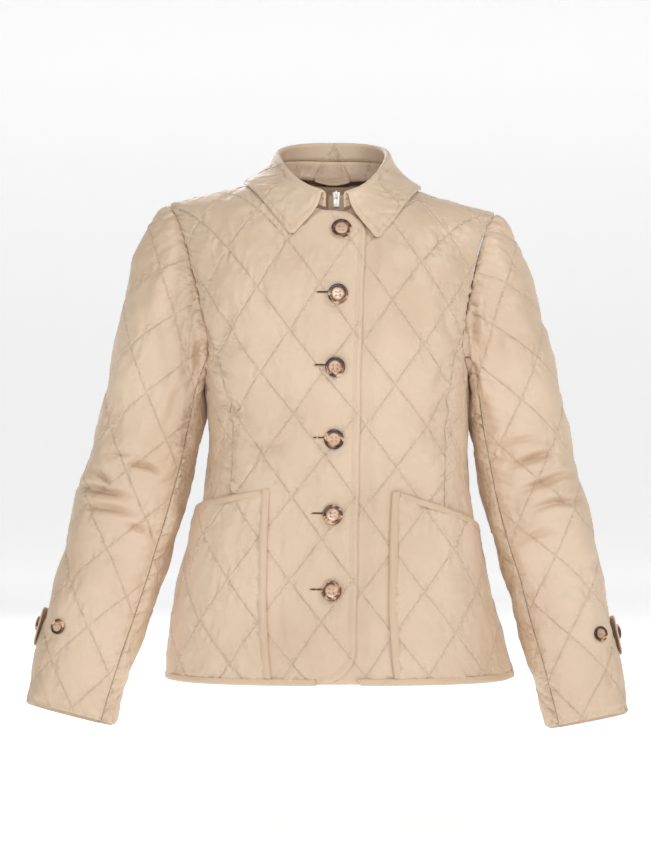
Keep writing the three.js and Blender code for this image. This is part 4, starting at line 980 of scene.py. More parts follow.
def quilting(lattice, u, v, puff, seed):
    """Height of the padded diamonds above their stitch lines, with the puckers beside each line."""
    a, b = quilt_lines(lattice, u, v)
    wide, tall = quilt_size(lattice)
    apart, side = 1 / math.hypot(1 / wide, 1 / tall), math.hypot(wide, tall) / 2
    pillow = (np.abs(np.sin(math.pi * a) * np.sin(math.pi * b)) + 1e-9) ** 0.7
    height = puff * pillow
    groove = np.zeros(u.shape)
    for k, (line, other) in enumerate(((a, b), (b, a))):
        row = np.round(line)
        away = (line - row) * apart
        off = np.abs(away)
        along = other * side
        wave_at = along / PUCKER["pitch"] + 7.3 * row + 0.07 * away
        wave = noise(seed + 10 + k, wave_at, np.sign(away) * 3.1 + row * 1.7 + off / 30)
        crease_at = along / PUCKER["apart"] + 3.1 * row + 0.05 * away
        line_at = noise(seed + 14 + k, crease_at, row * 2.3 + off / 40)
        wave = PUCKER["high"] * wave - PUCKER["crease"] * creased(line_at)
        height = height + wave * np.exp(-off / PUCKER["reach"]) * smooth(0, 2.2, off)
        groove = np.maximum(groove, np.exp(-((off / GROOVE["wide"]) ** 2)))
    size = CRUMPLE["size"]
    crumple = noise(seed + 20, u / size, v / size)
    crumple = crumple + 0.5 * noise(seed + 21, u / size * 2.3, v / size * 2.3)
    return height + CRUMPLE["high"] * crumple, groove * GROOVE["deep"], groove


def line_distance(lattice, u, v):
    """How far flat points are from the nearest quilting line."""
    wide, tall = quilt_size(lattice)
    apart = 1 / math.hypot(1 / wide, 1 / tall)
    return np.minimum(*(np.abs(line - np.round(line)) * apart for line in quilt_lines(lattice, u, v)))


def line_ranges(lattice, low, high):
    """The first and last quilting line of each way over a flat rectangle."""
    corners = [quilt_lines(lattice, x, y) for x in (low[0], high[0]) for y in (low[1], high[1])]
    return [(math.floor(min(c[k] for c in corners)), math.ceil(max(c[k] for c in corners))) for k in (0, 1)]


def inset(outline, distance):
    """An outline moved inwards."""
    before, after = np.roll(outline, 1, axis=0), np.roll(outline, -1, axis=0)
    a = unit(np.stack([before[:, 1] - outline[:, 1], outline[:, 0] - before[:, 0]], -1))
    b = unit(np.stack([outline[:, 1] - after[:, 1], after[:, 0] - outline[:, 0]], -1))
    way = a + b
    return outline + way * (distance / np.maximum(0.5, 0.5 * np.sum(way**2, axis=1)))[:, None]


def divided(outline, step, closed=True):
    """The same line with points no further apart than a step."""
    points = []
    ends = np.roll(outline, -1, axis=0) if closed else outline[1:]
    for p, q in zip(outline, ends):
        n = max(1, int(math.ceil(np.hypot(*(q - p)) / step)))
        points += [mix(p, q, i / n) for i in range(n)]
    if not closed:
        points.append(outline[-1])
    return np.array(points)


def evened(line, step):
    """Points at even lengths along an open line."""
    run = np.concatenate([[0], np.cumsum(np.hypot(*np.diff(line, axis=0).T))])
    n = max(2, int(round(run[-1] / step)))
    at = np.linspace(0, run[-1], n + 1)
    return np.stack([np.interp(at, run, line[:, k]) for k in range(2)], -1)


def staggered(low, high, step):
    """Flat points in columns, every second one moved by half a step."""
    across, up = np.arange(low[0], high[0], step), np.arange(low[1], high[1], step * 0.9)
    u, v = np.meshgrid(across, up, indexing="ij")
    u = u + (np.arange(len(up)) % 2)[None, :] * step / 2
    return u.ravel(), v.ravel()


def within(outline, u, v):
    inside = np.zeros(u.shape, bool)
    for (x0, y0), (x1, y1) in zip(outline, np.roll(outline, -1, axis=0)):
        if y0 == y1:
            continue
        crosses = (y0 > v) != (y1 > v)
        inside ^= crosses & (u < (x1 - x0) * (v - y0) / (y1 - y0) + x0)
    return inside


class Edge:
    """Measures how far flat points are from an outline, and how far round it."""

    def __init__(self, outline):
        self.loop = divided(outline, 2.0)
        step = np.hypot(*(np.roll(self.loop, -1, axis=0) - self.loop).T)
        self.run = np.concatenate([[0], np.cumsum(step)])
        self.tree = kdtree.KDTree(len(self.loop))
        for i, p in enumerate(self.loop):
            self.tree.insert((p[0], p[1], 0), i)
        self.tree.balance()

    def measure(self, u, v):
        flat_u, flat_v = u.ravel(), v.ravel()
        find = self.tree.find
        nearest = np.array([find((x, y, 0))[1] for x, y in zip(flat_u.tolist(), flat_v.tolist())])
        away = np.full(flat_u.shape, np.inf)
        round_at = np.zeros(flat_u.shape)
        count = len(self.loop)
        for back in (1, 0):
            i = (nearest - back) % count
            p, q = self.loop[i], self.loop[(i + 1) % count]
            d = q - p
            squared = np.sum(d * d, axis=1)
            t = ((flat_u - p[:, 0]) * d[:, 0] + (flat_v - p[:, 1]) * d[:, 1]) / np.maximum(squared, 1e-9)
            t = np.clip(t, 0, 1)
            far = np.hypot(flat_u - p[:, 0] - t * d[:, 0], flat_v - p[:, 1] - t * d[:, 1])
            closer = far < away
            away = np.where(closer, far, away)
            round_at = np.where(closer, self.run[i] + t * np.sqrt(squared), round_at)
        return away.reshape(u.shape), round_at.reshape(u.shape)


def triangulated(loop, inner):
    """Triangles of the flat region inside a loop, through given inner points."""
    points = np.concatenate([loop, inner])
    n = len(loop)
    made = delaunay_2d_cdt([Vector(p) for p in points.tolist()], [], [list(range(n))], 1, 1e-7, True)
    flat = np.array([(p[0], p[1]) for p in made[0]])
    border = np.full(n, -1)
    for i, sources in enumerate(made[3]):
        for source in sources:
            if source < n:
                border[source] = i
    return flat, np.array([face for face, sources in zip(made[2], made[5]) if sources]), border


class Piece:
    """One flat-cut cloth piece, wrapped on its form.

    level, pressed and puckered tell how high the flat piece lies, how full its quilting is and how far its
    edges are gathered. rows gives the distances from rows of stitches, and ribs the insets that need points.
    grid is the point spacing where it doesn't follow the diamonds, and cut_share the share of the height cut.
    """

    USUAL = {
        "gap": SEAM_GAP,
        "wall": WALL,
        "puff": PUFF,
        "level": uniform(0),
        "pressed": uniform(1),
        "puckered": uniform(1),
        "roll": 1,
        "cut_share": 1,
        "grid": None,
        "lined": False,
        "rows": lambda u, v, away: (),
        "ribs": (),
    }

    def __init__(self, name, outline, form, outward, lattice, part, seed, **more):
        self.name, self.form, self.outward, self.lattice, self.part = name, form, outward, lattice, part
        self.seed, self.cut = seed, outline
        for key, usual in self.USUAL.items():
            setattr(self, key, more.get(key, usual))
        self.outline = inset(outline, self.gap / 2)
        self.edge = Edge(self.outline)

    def holds(self, points, away):
        """Which flat points lie inside the outline, away from its edge."""
        kept = within(self.outline, points[:, 0], points[:, 1])
        inner = np.nonzero(kept)[0]
        kept[inner] = self.edge.measure(points[inner, 0], points[inner, 1])[0] > away
        return kept

    def heights(self, u, v):
        """Outer height, inner height and the nearness of a stitch line."""
        away, run = self.edge.measure(u, v)
        puffed, groove, line = quilting(self.lattice, u, v, self.puff, self.seed)
        settled = smooth(0, SEAM["fade"], away)
        pressed = self.pressed(u, v)
        outer = puffed * settled * pressed - groove * mix(0.6, 1, pressed) * smooth(0, 4, away)
        wave = noise(self.seed + 40, run / SEAM_PUCKER["pitch"] + 0.09 * away, away / 30)
        drawn = self.puckered(u, v) * np.exp(-away / SEAM_PUCKER["reach"]) * smooth(0, 3, away)
        line_at = noise(self.seed + 43, run / SEAM_PUCKER["apart"] + 0.07 * away, away / 60)
        outer = outer + (SEAM_PUCKER["high"] * wave - SEAM_PUCKER["crease"] * creased(line_at)) * drawn
        for off in self.rows(u, v, away):
            sewn = np.exp(-((off / ROW["wide"]) ** 2)) * smooth(0, 3, away)
            outer = outer - ROW["deep"] * sewn
            line = np.maximum(line, 0.85 * sewn)
        outer = outer - SEAM["drop"] * self.roll * (1 - smooth(0, SEAM["roll"], away)) ** 1.6
        inner = -self.wall * mix(0.85, 1, smooth(0, 8, away)) + 0 * u
        base = self.level(u, v)
        self.tight = np.maximum(np.exp(-away / 9) * np.minimum(1, self.puckered(u, v)), 0)
        return base + outer, base + np.minimum(inner, outer - 0.8), line * smooth(1, 5, away)

    def place(self, u, v, w):
        return raised(self.form, self.outward, self.part, u, v, w)

    def on_top(self, u, v, lift=0):
        return self.place(u, v, self.heights(u, v)[0] + lift)

    def diamond_points(self, lines_a, lines_b):
        """Points that follow the quilting, close together beside its lines."""
        inner = DIAMOND_SIDE - FINE[-1]
        count = max(2, int(round((inner - FINE[-1]) / COARSE_STEP))) + 1
        middle = np.linspace(FINE[-1], inner, count)
        cell = np.concatenate([FINE[:-1], middle, DIAMOND_SIDE - np.array(FINE[1:-1])[::-1]]) / DIAMOND_SIDE
        a, b = ((np.arange(*lines)[:, None] + cell[None, :]).ravel() for lines in (lines_a, lines_b))
        return (g.ravel() for g in flat_of(self.lattice, *np.meshgrid(a, b, indexing="ij")))

    def line_points(self, lines_a, lines_b):
        """Rows of points along both ways of quilting lines, for a piece with points on a grid."""
        wide, tall = quilt_size(self.lattice)
        off = np.array(LINED["rows"]) * math.hypot(1 / wide, 1 / tall)
        step = 2 * self.grid / math.hypot(wide, tall)
        (a_low, a_high), (b_low, b_high) = lines_a, lines_b
        row_a = (np.arange(a_low, a_high + 1)[:, None] + off).ravel()
        row_b = (np.arange(b_low, b_high + 1)[:, None] + off).ravel()
        for a, b in ((row_a, np.arange(b_low, b_high, step)), (np.arange(a_low, a_high, step), row_b)):
            yield flat_of(self.lattice, *np.meshgrid(a, b, indexing="ij"))

    def shape(self):
        """Triangles of the outer and of the inner face, on one loop."""
        loop = divided(self.outline, EDGE_STEP)
        low, high = self.outline.min(0), self.outline.max(0)
        lines = line_ranges(self.lattice, low, high)
        if self.grid:
            u, v = staggered(low, high, self.grid)
            if self.lined:
                clear = line_distance(self.lattice, u, v) > LINED["clear"]
                first, second = self.line_points(*lines)
                u, v = (
                    np.concatenate([g[clear], x.ravel(), y.ravel()]) for g, x, y in zip((u, v), first, second)
                )
        else:
            u, v = self.diamond_points(*lines)
        points = np.stack([u, v], -1)
        ribs = []
        for distance in (0.7, 1.5, 2.5, *self.ribs):
            rib = inset(loop, distance)
            ribs.append(rib[self.holds(rib, distance * 0.8)])
        under = np.stack(staggered(low, high, INSIDE_STEP), -1)
        return (
            triangulated(loop, np.concatenate([points[self.holds(points, 3.4)], *ribs])),
            triangulated(loop, under[self.holds(under, 3)]),
        )

    def build(self, material):
        (top_flat, top_faces, top_border), (low_flat, low_faces, low_border) = self.shape()
        out, _, line = self.heights(top_flat[:, 0], top_flat[:, 1])
        near_line = np.exp(-line_distance(self.lattice, top_flat[:, 0], top_flat[:, 1]) / 6)
        tight = np.maximum(self.tight, 0.85 * near_line)
        _, into, _ = self.heights(low_flat[:, 0], low_flat[:, 1])
        top = self.place(top_flat[:, 0], top_flat[:, 1], out)
        low = self.place(low_flat[:, 0], low_flat[:, 1], into)
        n = len(top)
        low_faces = low_faces[:, ::-1] + n
        border, under = top_border, low_border + n
        following, under_next = np.roll(border, -1), np.roll(under, -1)
        rim = [np.stack([under, under_next, following], -1), np.stack([under, following, border], -1)]
        faces = np.concatenate([top_faces, low_faces, *rim])
        if self.outward < 0:
            faces = faces[:, ::-1]
        points = np.concatenate([top, low])
        flat = np.concatenate([top_flat, low_flat])
        lines = np.concatenate([line, np.zeros(len(low))])
        tight = np.concatenate([tight, np.zeros(len(low))])
        return mesh_object(self.name, points, faces, material, flat, lines, tight)


def mesh_object(name, points, faces, material, flat=None, lines=None, tight=None):
    mesh = bpy.data.meshes.new(name)
    mesh.from_pydata((points * MM).tolist(), [], [tuple(f) for f in np.asarray(faces).tolist()])
    mesh.update()
    mesh.polygons.foreach_set("use_smooth", np.ones(len(mesh.polygons), bool))
    if flat is not None:
        layer = mesh.uv_layers.new(name="flat")
        corner = np.empty(len(mesh.loops), np.int32)
        mesh.loops.foreach_get("vertex_index", corner)
        layer.data.foreach_set("uv", (flat[corner] * MM).astype(np.float32).ravel())
    # The first of these masks, nearness to the stitch grooves, darkens the cloth's colour there as painted
    # shade.
    for title, values in (("groove_shade", lines), ("drawn_in", tight)):
        if values is not None:
            layer = mesh.attributes.new(title, "FLOAT", "POINT")
            layer.data.foreach_set("value", values.astype(np.float32))
    mesh.materials.append(material)
    obj = bpy.data.objects.new(name, mesh)
    bpy.context.scene.collection.objects.link(obj)
    return obj


# Materials
class Finish:
    """A material. Each method adds a node and gives its output."""

    def __init__(self, name):
        self.material = bpy.data.materials.new(name)
        self.material.use_nodes = True
        self.tree = self.material.node_tree

    def put(self, socket, value):
        if isinstance(value, bpy.types.NodeSocket):
            self.tree.links.new(value, socket)
        else:
            socket.default_value = value

    def add(self, kind, output, inputs=None, **settings):
        node = self.tree.nodes.new(f"ShaderNode{kind}")
        for key, value in settings.items():
            setattr(node, key, value)
        for key, value in (inputs or {}).items():
            self.put(node.inputs[key], value)
        return node.outputs[output]

    def noise(self, place, scale, detail=2.0, roughness=0.5, distortion=0.0):
        inputs = {"Scale": scale, "Detail": detail, "Roughness": roughness, "Distortion": distortion}
        return self.add("TexNoise", "Fac", {"Vector": place, **inputs})

    def wave(self, place, scale, way):
        inputs = {"Scale": scale, "Distortion": 0.6, "Detail": 1.0, "Detail Scale": 3.0}
        return self.add("TexWave", "Fac", {"Vector": place, **inputs}, bands_direction=way)

    def attribute(self, name):
        return self.add("Attribute", "Fac", attribute_name=name)

    def ranged(self, value, low, high, to_low=0.0, to_high=1.0):
        inputs = {"From Min": low, "From Max": high, "To Min": to_low, "To Max": to_high}
        return self.add("MapRange", "Result", {"Value": value, **inputs})

    def mixed(self, factor, a, b):
        return self.add("Mix", "Result", {"Factor": factor, "A": a, "B": b}, data_type="RGBA")

    def math(self, operation, a, b):
        return self.add("Math", "Value", {0: a, 1: b}, operation=operation)

    def bump(self, height, strength, distance, under=None):
        inputs = {"Strength": strength, "Distance": distance, "Height": height}
        return self.add("Bump", "Normal", {**inputs, **({"Normal": under} if under else {})})

    def ramp(self, source, *marks):
        """Colours at places of a source from 0 to 1."""
        colour = self.add("ValToRGB", "Color", {"Fac": source})
        stops = colour.node.color_ramp.elements
        stops[0].position, stops[0].color = marks[0]
        stops[1].position, stops[1].color = marks[-1]
        for position, mark in marks[1:-1]:
            stops.new(position).color = mark
        return colour

    def object_place(self):
        return self.add("TexCoord", "Object")

    def finished(self, **surface):
        """Sets the surface's inputs, with _ for a space in their names."""
        shader = self.tree.nodes["Principled BSDF"]
        for key, value in surface.items():
            self.put(shader.inputs[key.replace("_", " ")], value)
        return self.material


def srgb(r, g, b):
    def channel(c):
        c = c / 255
        return c / 12.92 if c <= 0.04045 else ((c + 0.055) / 1.055) ** 2.4

    return (channel(r), channel(g), channel(b), 1)


def cloth_material(name, base, dark, light, roughness):
    """Closely woven, slightly glossy cotton, with changes of tone, painted shade along its stitch grooves and
    fine puckers.
    """
    cloth = Finish(name)
    place = cloth.object_place()
    flat = cloth.add("UVMap", "UV", uv_map="flat")
    fine = cloth.noise(place, 130.0, 4.0, 0.6)
    tone = cloth.mixed(cloth.ranged(cloth.noise(place, 7.0, 3.0), 0.3, 0.7), dark, light)
    speckled = cloth.mixed(cloth.ranged(fine, 0.25, 0.75, 0.0, 0.35), tone, base)
    # Painted shade: deep is a darker, warmer cloth colour mixed in along the stitch grooves, where shade
    # falls in them.
    deep = (dark[0] * 0.5, dark[1] * 0.43, dark[2] * 0.36, 1)
    line = cloth.math("MULTIPLY", cloth.attribute("groove_shade"), 0.19)
    weave = cloth.math("MULTIPLY", cloth.wave(flat, 700.0, "X"), cloth.wave(flat, 620.0, "Y"))
    gathered = cloth.math("MULTIPLY", cloth.attribute("drawn_in"), cloth.noise(flat, 170.0, 2.5, 0.5, 0.6))
    normal = cloth.bump(weave, 0.25, 0.00012)
    normal = cloth.bump(fine, 0.3, 0.0012, normal)
    normal = cloth.bump(cloth.noise(place, 380.0), 0.2, 0.0003, normal)
    return cloth.finished(
        Base_Color=cloth.mixed(line, speckled, deep),
        Roughness=cloth.ranged(fine, 0.2, 0.8, roughness - 0.06, roughness + 0.08),
        Normal=cloth.bump(gathered, 1.0, 0.0035, normal),
        Specular_IOR_Level=0.55,
        Sheen_Weight=0.12,
        Sheen_Roughness=0.35,
    )


def thread_material():
    thread = Finish("sewing_thread")
    grain = thread.noise(thread.object_place(), 900.0)
    return thread.finished(
        Base_Color=thread.mixed(grain, srgb(220, 194, 162), srgb(242, 222, 196)),
        Normal=thread.bump(grain, 0.3, 0.0001),
        Roughness=0.55,
    )


def horn_material():
    """Mottled horn, polished: honey in the middle, brown clouds towards the rim."""
    horn = Finish("mottled_horn")
    place = horn.object_place()
    clouds = horn.noise(place, 62.0, 4.0, 0.58, 0.9)
    veins = horn.noise(place, 95.0, 2.0, 0.45, 0.8)
    scratches = horn.noise(place, 600.0, 3.0)
    dark = horn.ramp(
        clouds,
        (0.4, srgb(48, 26, 13)),
        (0.5, srgb(84, 48, 26)),
        (0.56, srgb(138, 92, 58)),
        (0.62, srgb(222, 190, 152)),
    )
    pale = horn.ramp(
        veins, (0.3, srgb(176, 134, 102)), (0.5, srgb(204, 168, 138)), (0.7, srgb(226, 194, 166))
    )
    edge = horn.math("ADD", horn.attribute("rim"), horn.math("MULTIPLY", clouds, 0.3))
    return horn.finished(
        Base_Color=horn.mixed(horn.ranged(edge, 0.66, 0.84), pale, dark),
        Roughness=horn.ranged(scratches, 0.0, 1.0, 0.2, 0.36),
        Normal=horn.bump(scratches, 0.15, 0.0002),
        Coat_Weight=0.3,
        Coat_Roughness=0.12,
    )


def metal_material():
    metal = Finish("bright_nickel")
    grain = metal.noise(metal.object_place(), 800.0, 3.0)
    return metal.finished(
        Base_Color=metal.mixed(grain, srgb(192, 188, 181), srgb(228, 225, 218)),
        Roughness=metal.ranged(grain, 0.0, 1.0, 0.32, 0.46),
        Metallic=1,
    )


def shade_material():
    """Painted shade: a dark sheet that stands for the shade inside a buttonhole's slit."""
    shade = Finish("buttonhole_shade")
    grain = shade.noise(shade.object_place(), 500.0)
    return shade.finished(Base_Color=shade.mixed(grain, srgb(52, 32, 20), srgb(92, 62, 40)), Roughness=0.9)


CLOTH_FINISH = cloth_material(
    "quilted_cotton", srgb(218, 193, 166), srgb(208, 182, 154), srgb(226, 202, 177), 0.4
)
TRIM_FINISH = cloth_material(
    "binding_cotton", srgb(213, 187, 158), srgb(204, 177, 148), srgb(220, 195, 168), 0.42
)
THREAD_FINISH = thread_material()
HORN_FINISH = horn_material()
METAL_FINISH = metal_material()


# Stitches: small tapered runs of thread that lie in their seam
STITCH = {"long": 2.35, "pitch": 3.1, "wide": 0.42, "high": 0.34}
STITCH_CORNERS = (
    (-1, 0, -0.15),
    (-0.55, -0.5, 0),
    (-0.55, 0.5, 0),
    (-0.5, 0, 1),
    (0.55, -0.5, 0),
    (0.55, 0.5, 0),
    (0.5, 0, 1),
    (1, 0, -0.15),
)
STITCH_FACES = np.array(
    [
        *((0, 2, 1), (0, 1, 3), (0, 3, 2), (1, 2, 5), (1, 5, 4), (1, 4, 6)),
        *((1, 6, 3), (2, 3, 6), (2, 6, 5), (7, 4, 5), (7, 6, 4), (7, 5, 6)),
    ]
)


def stitch_points(line, pitch):
    """Centres and directions of stitches along an open flat line."""
    points = evened(line, pitch)
    return (points[:-1] + points[1:]) / 2, unit(np.diff(points, axis=0))


def quilt_stitches(piece, hidden, clear):
    """Stitches along the quilting lines, where they show and are clear of the edge."""
    side = math.hypot(*quilt_size(piece.lattice)) / 2
    lines = line_ranges(piece.lattice, piece.outline.min(0), piece.outline.max(0))
    centres, ways = [], []
    for k in (0, 1):
        (line_low, line_high), (run_low, run_high) = lines[k], lines[1 - k]
        run = np.arange(run_low * side, run_high * side, STITCH["pitch"]) / side
        for line in range(line_low, line_high + 1):
            fixed = np.full(run.shape, float(line))
            u, v = flat_of(piece.lattice, *((run, fixed) if k else (fixed, run)))
            centres.append(np.stack([u, v], -1))
            ways.append(np.tile(unit(np.array([u[1] - u[0], v[1] - v[0]])), (len(run), 1)))
    centres, ways = np.concatenate(centres), np.concatenate(ways)
    kept = piece.holds(centres, clear) & ~hidden(centres[:, 0], centres[:, 1])
    return centres[kept], ways[kept]


def sew(name, runs, long=STITCH["long"], wide=STITCH["wide"], high=STITCH["high"]):
    """Makes one mesh of stitches from runs of (surface, centres, directions)."""
    all_points, all_faces, count = [], [], 0
    for on_top, centres, ways in runs:
        if not len(centres):
            continue
        side = np.stack([-ways[:, 1], ways[:, 0]], -1)
        half = long / 2
        corners = []
        for along, across, lift in STITCH_CORNERS:
            flat = centres + ways * along * half + side * across * wide
            corners.append(on_top(flat[:, 0], flat[:, 1], lift * high))
        points = np.stack(corners, 1).reshape(-1, 3)
        first = np.arange(len(centres))[:, None, None] * len(STITCH_CORNERS)
        faces = outward_faces(points, (first + STITCH_FACES[None]).reshape(-1, 3)) + count
        all_points.append(points)
        all_faces.append(faces)
        count += len(points)
    obj = mesh_object(name, np.concatenate(all_points), np.concatenate(all_faces), THREAD_FINISH)
    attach(obj, "jacket")
    return obj


def outward_faces(points, faces):
    """Turns closed triangles the right way out."""
    a, b, c = (points[faces[:, k]] for k in range(3))
    return faces if np.sum(a * np.cross(b, c)) > 0 else faces[:, ::-1]


def offset_line(line, distance):
    """An open flat line moved sideways, to its left for a positive distance."""
    line = np.array(line, float)
    way = unit(np.gradient(line, axis=0))
    return line + np.stack([-way[:, 1], way[:, 0]], -1) * distance


def top_stitches(on_top, lines, pitch=STITCH["pitch"]):
    centres, ways = zip(*[stitch_points(np.array(line), pitch) for line in lines])
    return on_top, np.concatenate(centres), np.concatenate(ways)


def dress(piece, nodes, rests_on, material):
    """Builds a cloth piece in place of its solid and hides the solid; the size of its flat cut is worked out
    but not kept.
    """
    obj = piece.build(material)
    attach(obj, "jacket")
    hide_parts(*nodes)
    size = (piece.cut.max(0) - piece.cut.min(0)) * MM * np.array([1, piece.cut_share])
    min(abs(area_of(piece.cut)) * MM * MM * piece.cut_share, float(size[0] * size[1]))
    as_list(rests_on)
    return obj


# Fronts, side panels, back and pockets
PRESSED = 0.3
EDGE_ROWS = (5.2, 8.0)
EDGE_RIBS = (4.5, 5.2, 5.9, 7.3, 8.0, 8.7)
LAP_EASE = 22
LAP_DEEP = WALL + 1.3
BUTTON_PRESSED = (9, 22)
under_pocket = pocket_outline("left")
under_pocket_edge = Edge(under_pocket)


def near_pocket(u, v):
    """Quilting lies flat under a pocket. Both sides take the left pocket's shape."""
    away = under_pocket_edge.measure(u, v)[0]
    return np.where(within(under_pocket, u, v), PRESSED, mix(PRESSED, 1, smooth(1, 9, away)))


def near_button(u, v):
    """Quilting lies flat about the front buttons, along the left front's line."""
    far = [np.hypot(u - lean_x(z), v - centre_cloth(z)) for z, _ in BUTTONS]
    return smooth(*BUTTON_PRESSED, np.minimum.reduce(far))


def free_edge(v):
    """The right front's free edge, measured from the centre front."""
    return -OVERLAP["over"] - lean_x(v)


def under_lap(u, v):
    """Where the left front lies under the right one."""
    return 1 - smooth(0, LAP_EASE, u - (OVERLAP["over"] + lean_x(v)))


def under_collar(v):
    """Quilting lies flatter under the collar's leaf."""
    return mix(0.4, 1, smooth(CLOTH["front"]["top"] + 5, -55, v))


def front_rows(u, v, away):
    edge_off = u - free_edge(v)
    corner = (v < HEM_Z + OVERLAP["corner_tall"]) & (edge_off < OVERLAP["corner_wide"] + 2)
    return [np.where((edge_off < 12) | corner, away - row, 9) for row in EDGE_ROWS]


def right_pressed(u, v):
    flat = np.minimum(near_pocket(u, v), near_button(u, v))
    return flat * under_collar(v) * mix(0.55, 1, smooth(4, 24, u - free_edge(v)))


def pocket_rise(u):
    """How high a pocket's outer face lies over the front, more so towards the side."""
    full = smooth(POCKET_FULL["from"], POCKET_FULL["to"], u)
    return POCKET_WALL + mix(POCKET_LIFT, POCKET_FULL["lift"], full)


def pocket_bed(u, v, gape):
    """The same with the slight gape of its mouth."""
    near_top = smooth(POCKET_MOUTH["low"], POCKET_MOUTH["high"], v)
    return pocket_rise(u) + gape * near_top * smooth(POCKET_MOUTH["near"], POCKET_MOUTH["far"], u)


def on_form(face, side):
    return lambda u, v: body_point(face, side, u, v)


FRONTS = {
    "right": {
        "pressed": right_pressed,
        "puckered": lambda u, v: 1.4 * smooth(8, 40, u),
        "rows": front_rows,
        "ribs": EDGE_RIBS,
    },
    "left": {
        "level": lambda u, v: -LAP_DEEP * under_lap(u, v),
        "pressed": lambda u, v: near_pocket(u, v) * mix(1, 0.2, under_lap(u, v)) * under_collar(v),
        "puckered": lambda u, v: 1.4 * smooth(40, 70, u),
    },
}
SIDE_PANEL = {
    "pressed": lambda u, v: near_pocket(u + ring_lengths(v)[1], v),
    "puckered": uniform(1.5),
}
pieces = {}
for name, side in SIDES.items():
    right = name == "right"
    front_edge = free_edge if right else lambda v: lean_x(v) - OVERLAP["under"]
    pocket = {
        "wall": POCKET_WALL,
        "puff": 1.9,
        "level": lambda u, v, gape=POCKETS[name]["gape"]: pocket_bed(u, v, gape),
        "roll": 0.6,
    }
    for kind, outline, face, lattice, seed, more in (
        ("front", front_outline(front_edge, right), "front", name, 100, FRONTS[name]),
        ("side", side_outline(), "side", "side", 300, SIDE_PANEL),
        ("pocket", pocket_outline(name), "front", name, 500, pocket),
    ):
        pieces[f"{kind}_{name}"] = Piece(
            f"{kind}_{name}_cloth",
            outline,
            on_form(face, side),
            side,
            LATTICES[lattice],
            "body",
            seed if right else seed + 100,
            **more,
        )
BACK_TOP = CLOTH["back"]["top"]
pieces["back"] = Piece(
    "back_cloth",
    back_outline(),
    on_form("back", 1),
    -1,
    LATTICES["back"],
    "body",
    700,
    pressed=lambda u, v: mix(0.4, 1, smooth(BACK_TOP - 10, BACK_TOP - 60, v)),
)


# Sleeves, each cut as a wide top and a narrow under piece
def sleeve_piece(name, kind, start, stop, middle, gap, seed):
    side, form = SIDES[name], sleeve_forms[name]

    def place(u, v):
        return form["point"](u + form["length_at"](np.maximum(0, -np.asarray(v)), radians(middle)), v)

    def puckered(u, v):
        return SLEEVE_PUCKERED[kind] + 1.1 * smooth(-110, -20, v) * smooth(45, 100, np.abs(u))

    outline = sleeve_outline(form, start, stop, middle)
    lattice = LATTICES[f"sleeve_{kind}"]
    title = f"sleeve_{kind}_{name}_cloth"
    return Piece(title, outline, place, -side, lattice, name, seed, gap=gap, puckered=puckered)


front, back = SLEEVE_SEAMS["front"], SLEEVE_SEAMS["back"]
for name, seed in (("right", 800), ("left", 850)):
    top = sleeve_piece(name, "top", back, front, 0, SEAM_GAP, seed)
    under = sleeve_piece(
        name, "under", front, back + 360, (front + back) / 2 + 180, SEAM_GAP * 3, seed + 100
    )
    pieces[f"sleeve_top_{name}"], pieces[f"sleeve_under_{name}"] = top, under

# Collar: a stand and a leaf that turns over it
half_long = COLLAR_LONG / 2 * 0.999


def collar_flat(b):
    """Flat height of a place of the collar."""
    return (b - COLLAR_ZERO) * COLLAR_SCALE


def strip_outline(low, high, rounded=0):
    points = [(-half_long, low), (half_long, low)]
    for a in np.radians(np.linspace(0, 90, 9)) if rounded else [0]:
        points.append((half_long - rounded * (1 - math.cos(a)), high - rounded * (1 - math.sin(a))))
    for a in np.radians(np.linspace(90, 0, 9)) if rounded else [0]:
        points.append((-half_long + rounded * (1 - math.cos(a)), high - rounded * (1 - math.sin(a))))
    return tidy_outline(points)


joined = COLLAR["joined"] * COLLAR["inner"]
LEAF_ROW = 5.5
pieces["collar_stand"] = Piece(
    "collar_stand_cloth",
    strip_outline(collar_flat(0.035), collar_flat(joined)),
    collar_form,
    1,
    LATTICES["collar"],
    "collar",
    1000,
    puff=0,
    level=uniform(COLLAR["thick"] / 2),
    puckered=uniform(0),
    cut_share=0.72,
)
pieces["collar_leaf"] = Piece(
    "collar_leaf_cloth",
    strip_outline(collar_flat(joined), collar_flat(1), 9),
    collar_form,
    1,
    LATTICES["leaf"],
    "collar",
    1100,
    puff=2.6,
    level=uniform(COLLAR["thick"] / 2),
    pressed=lambda u, v: smooth(20, 34, v),
    puckered=lambda u, v: 0.7 * smooth(26, 44, v),
    roll=0.9,
    grid=1.7,
    lined=True,
    rows=lambda u, v, away: [np.where(v > 26, away - LEAF_ROW, 9)],
    ribs=(4.8, 5.5, 6.2),
)

RESTS = {
    "front_right": ["front_left"],
    "front_left": ["front_right"],
    "side_right": ["front_right"],
    "side_left": ["front_left"],
    "pocket_right": ["front_right"],
    "pocket_left": ["front_left"],
    "back": ["side_right", "side_left"],
    "sleeve_top_right": ["front_right", "back"],
    "sleeve_under_right": ["side_right"],
    "sleeve_top_left": ["front_left", "back"],
    "sleeve_under_left": ["side_left"],
    "collar_stand": ["back"],
    "collar_leaf": ["collar_stand"],
}
for name, piece in pieces.items():
    dress(piece, [name], RESTS[name], CLOTH_FINISH)


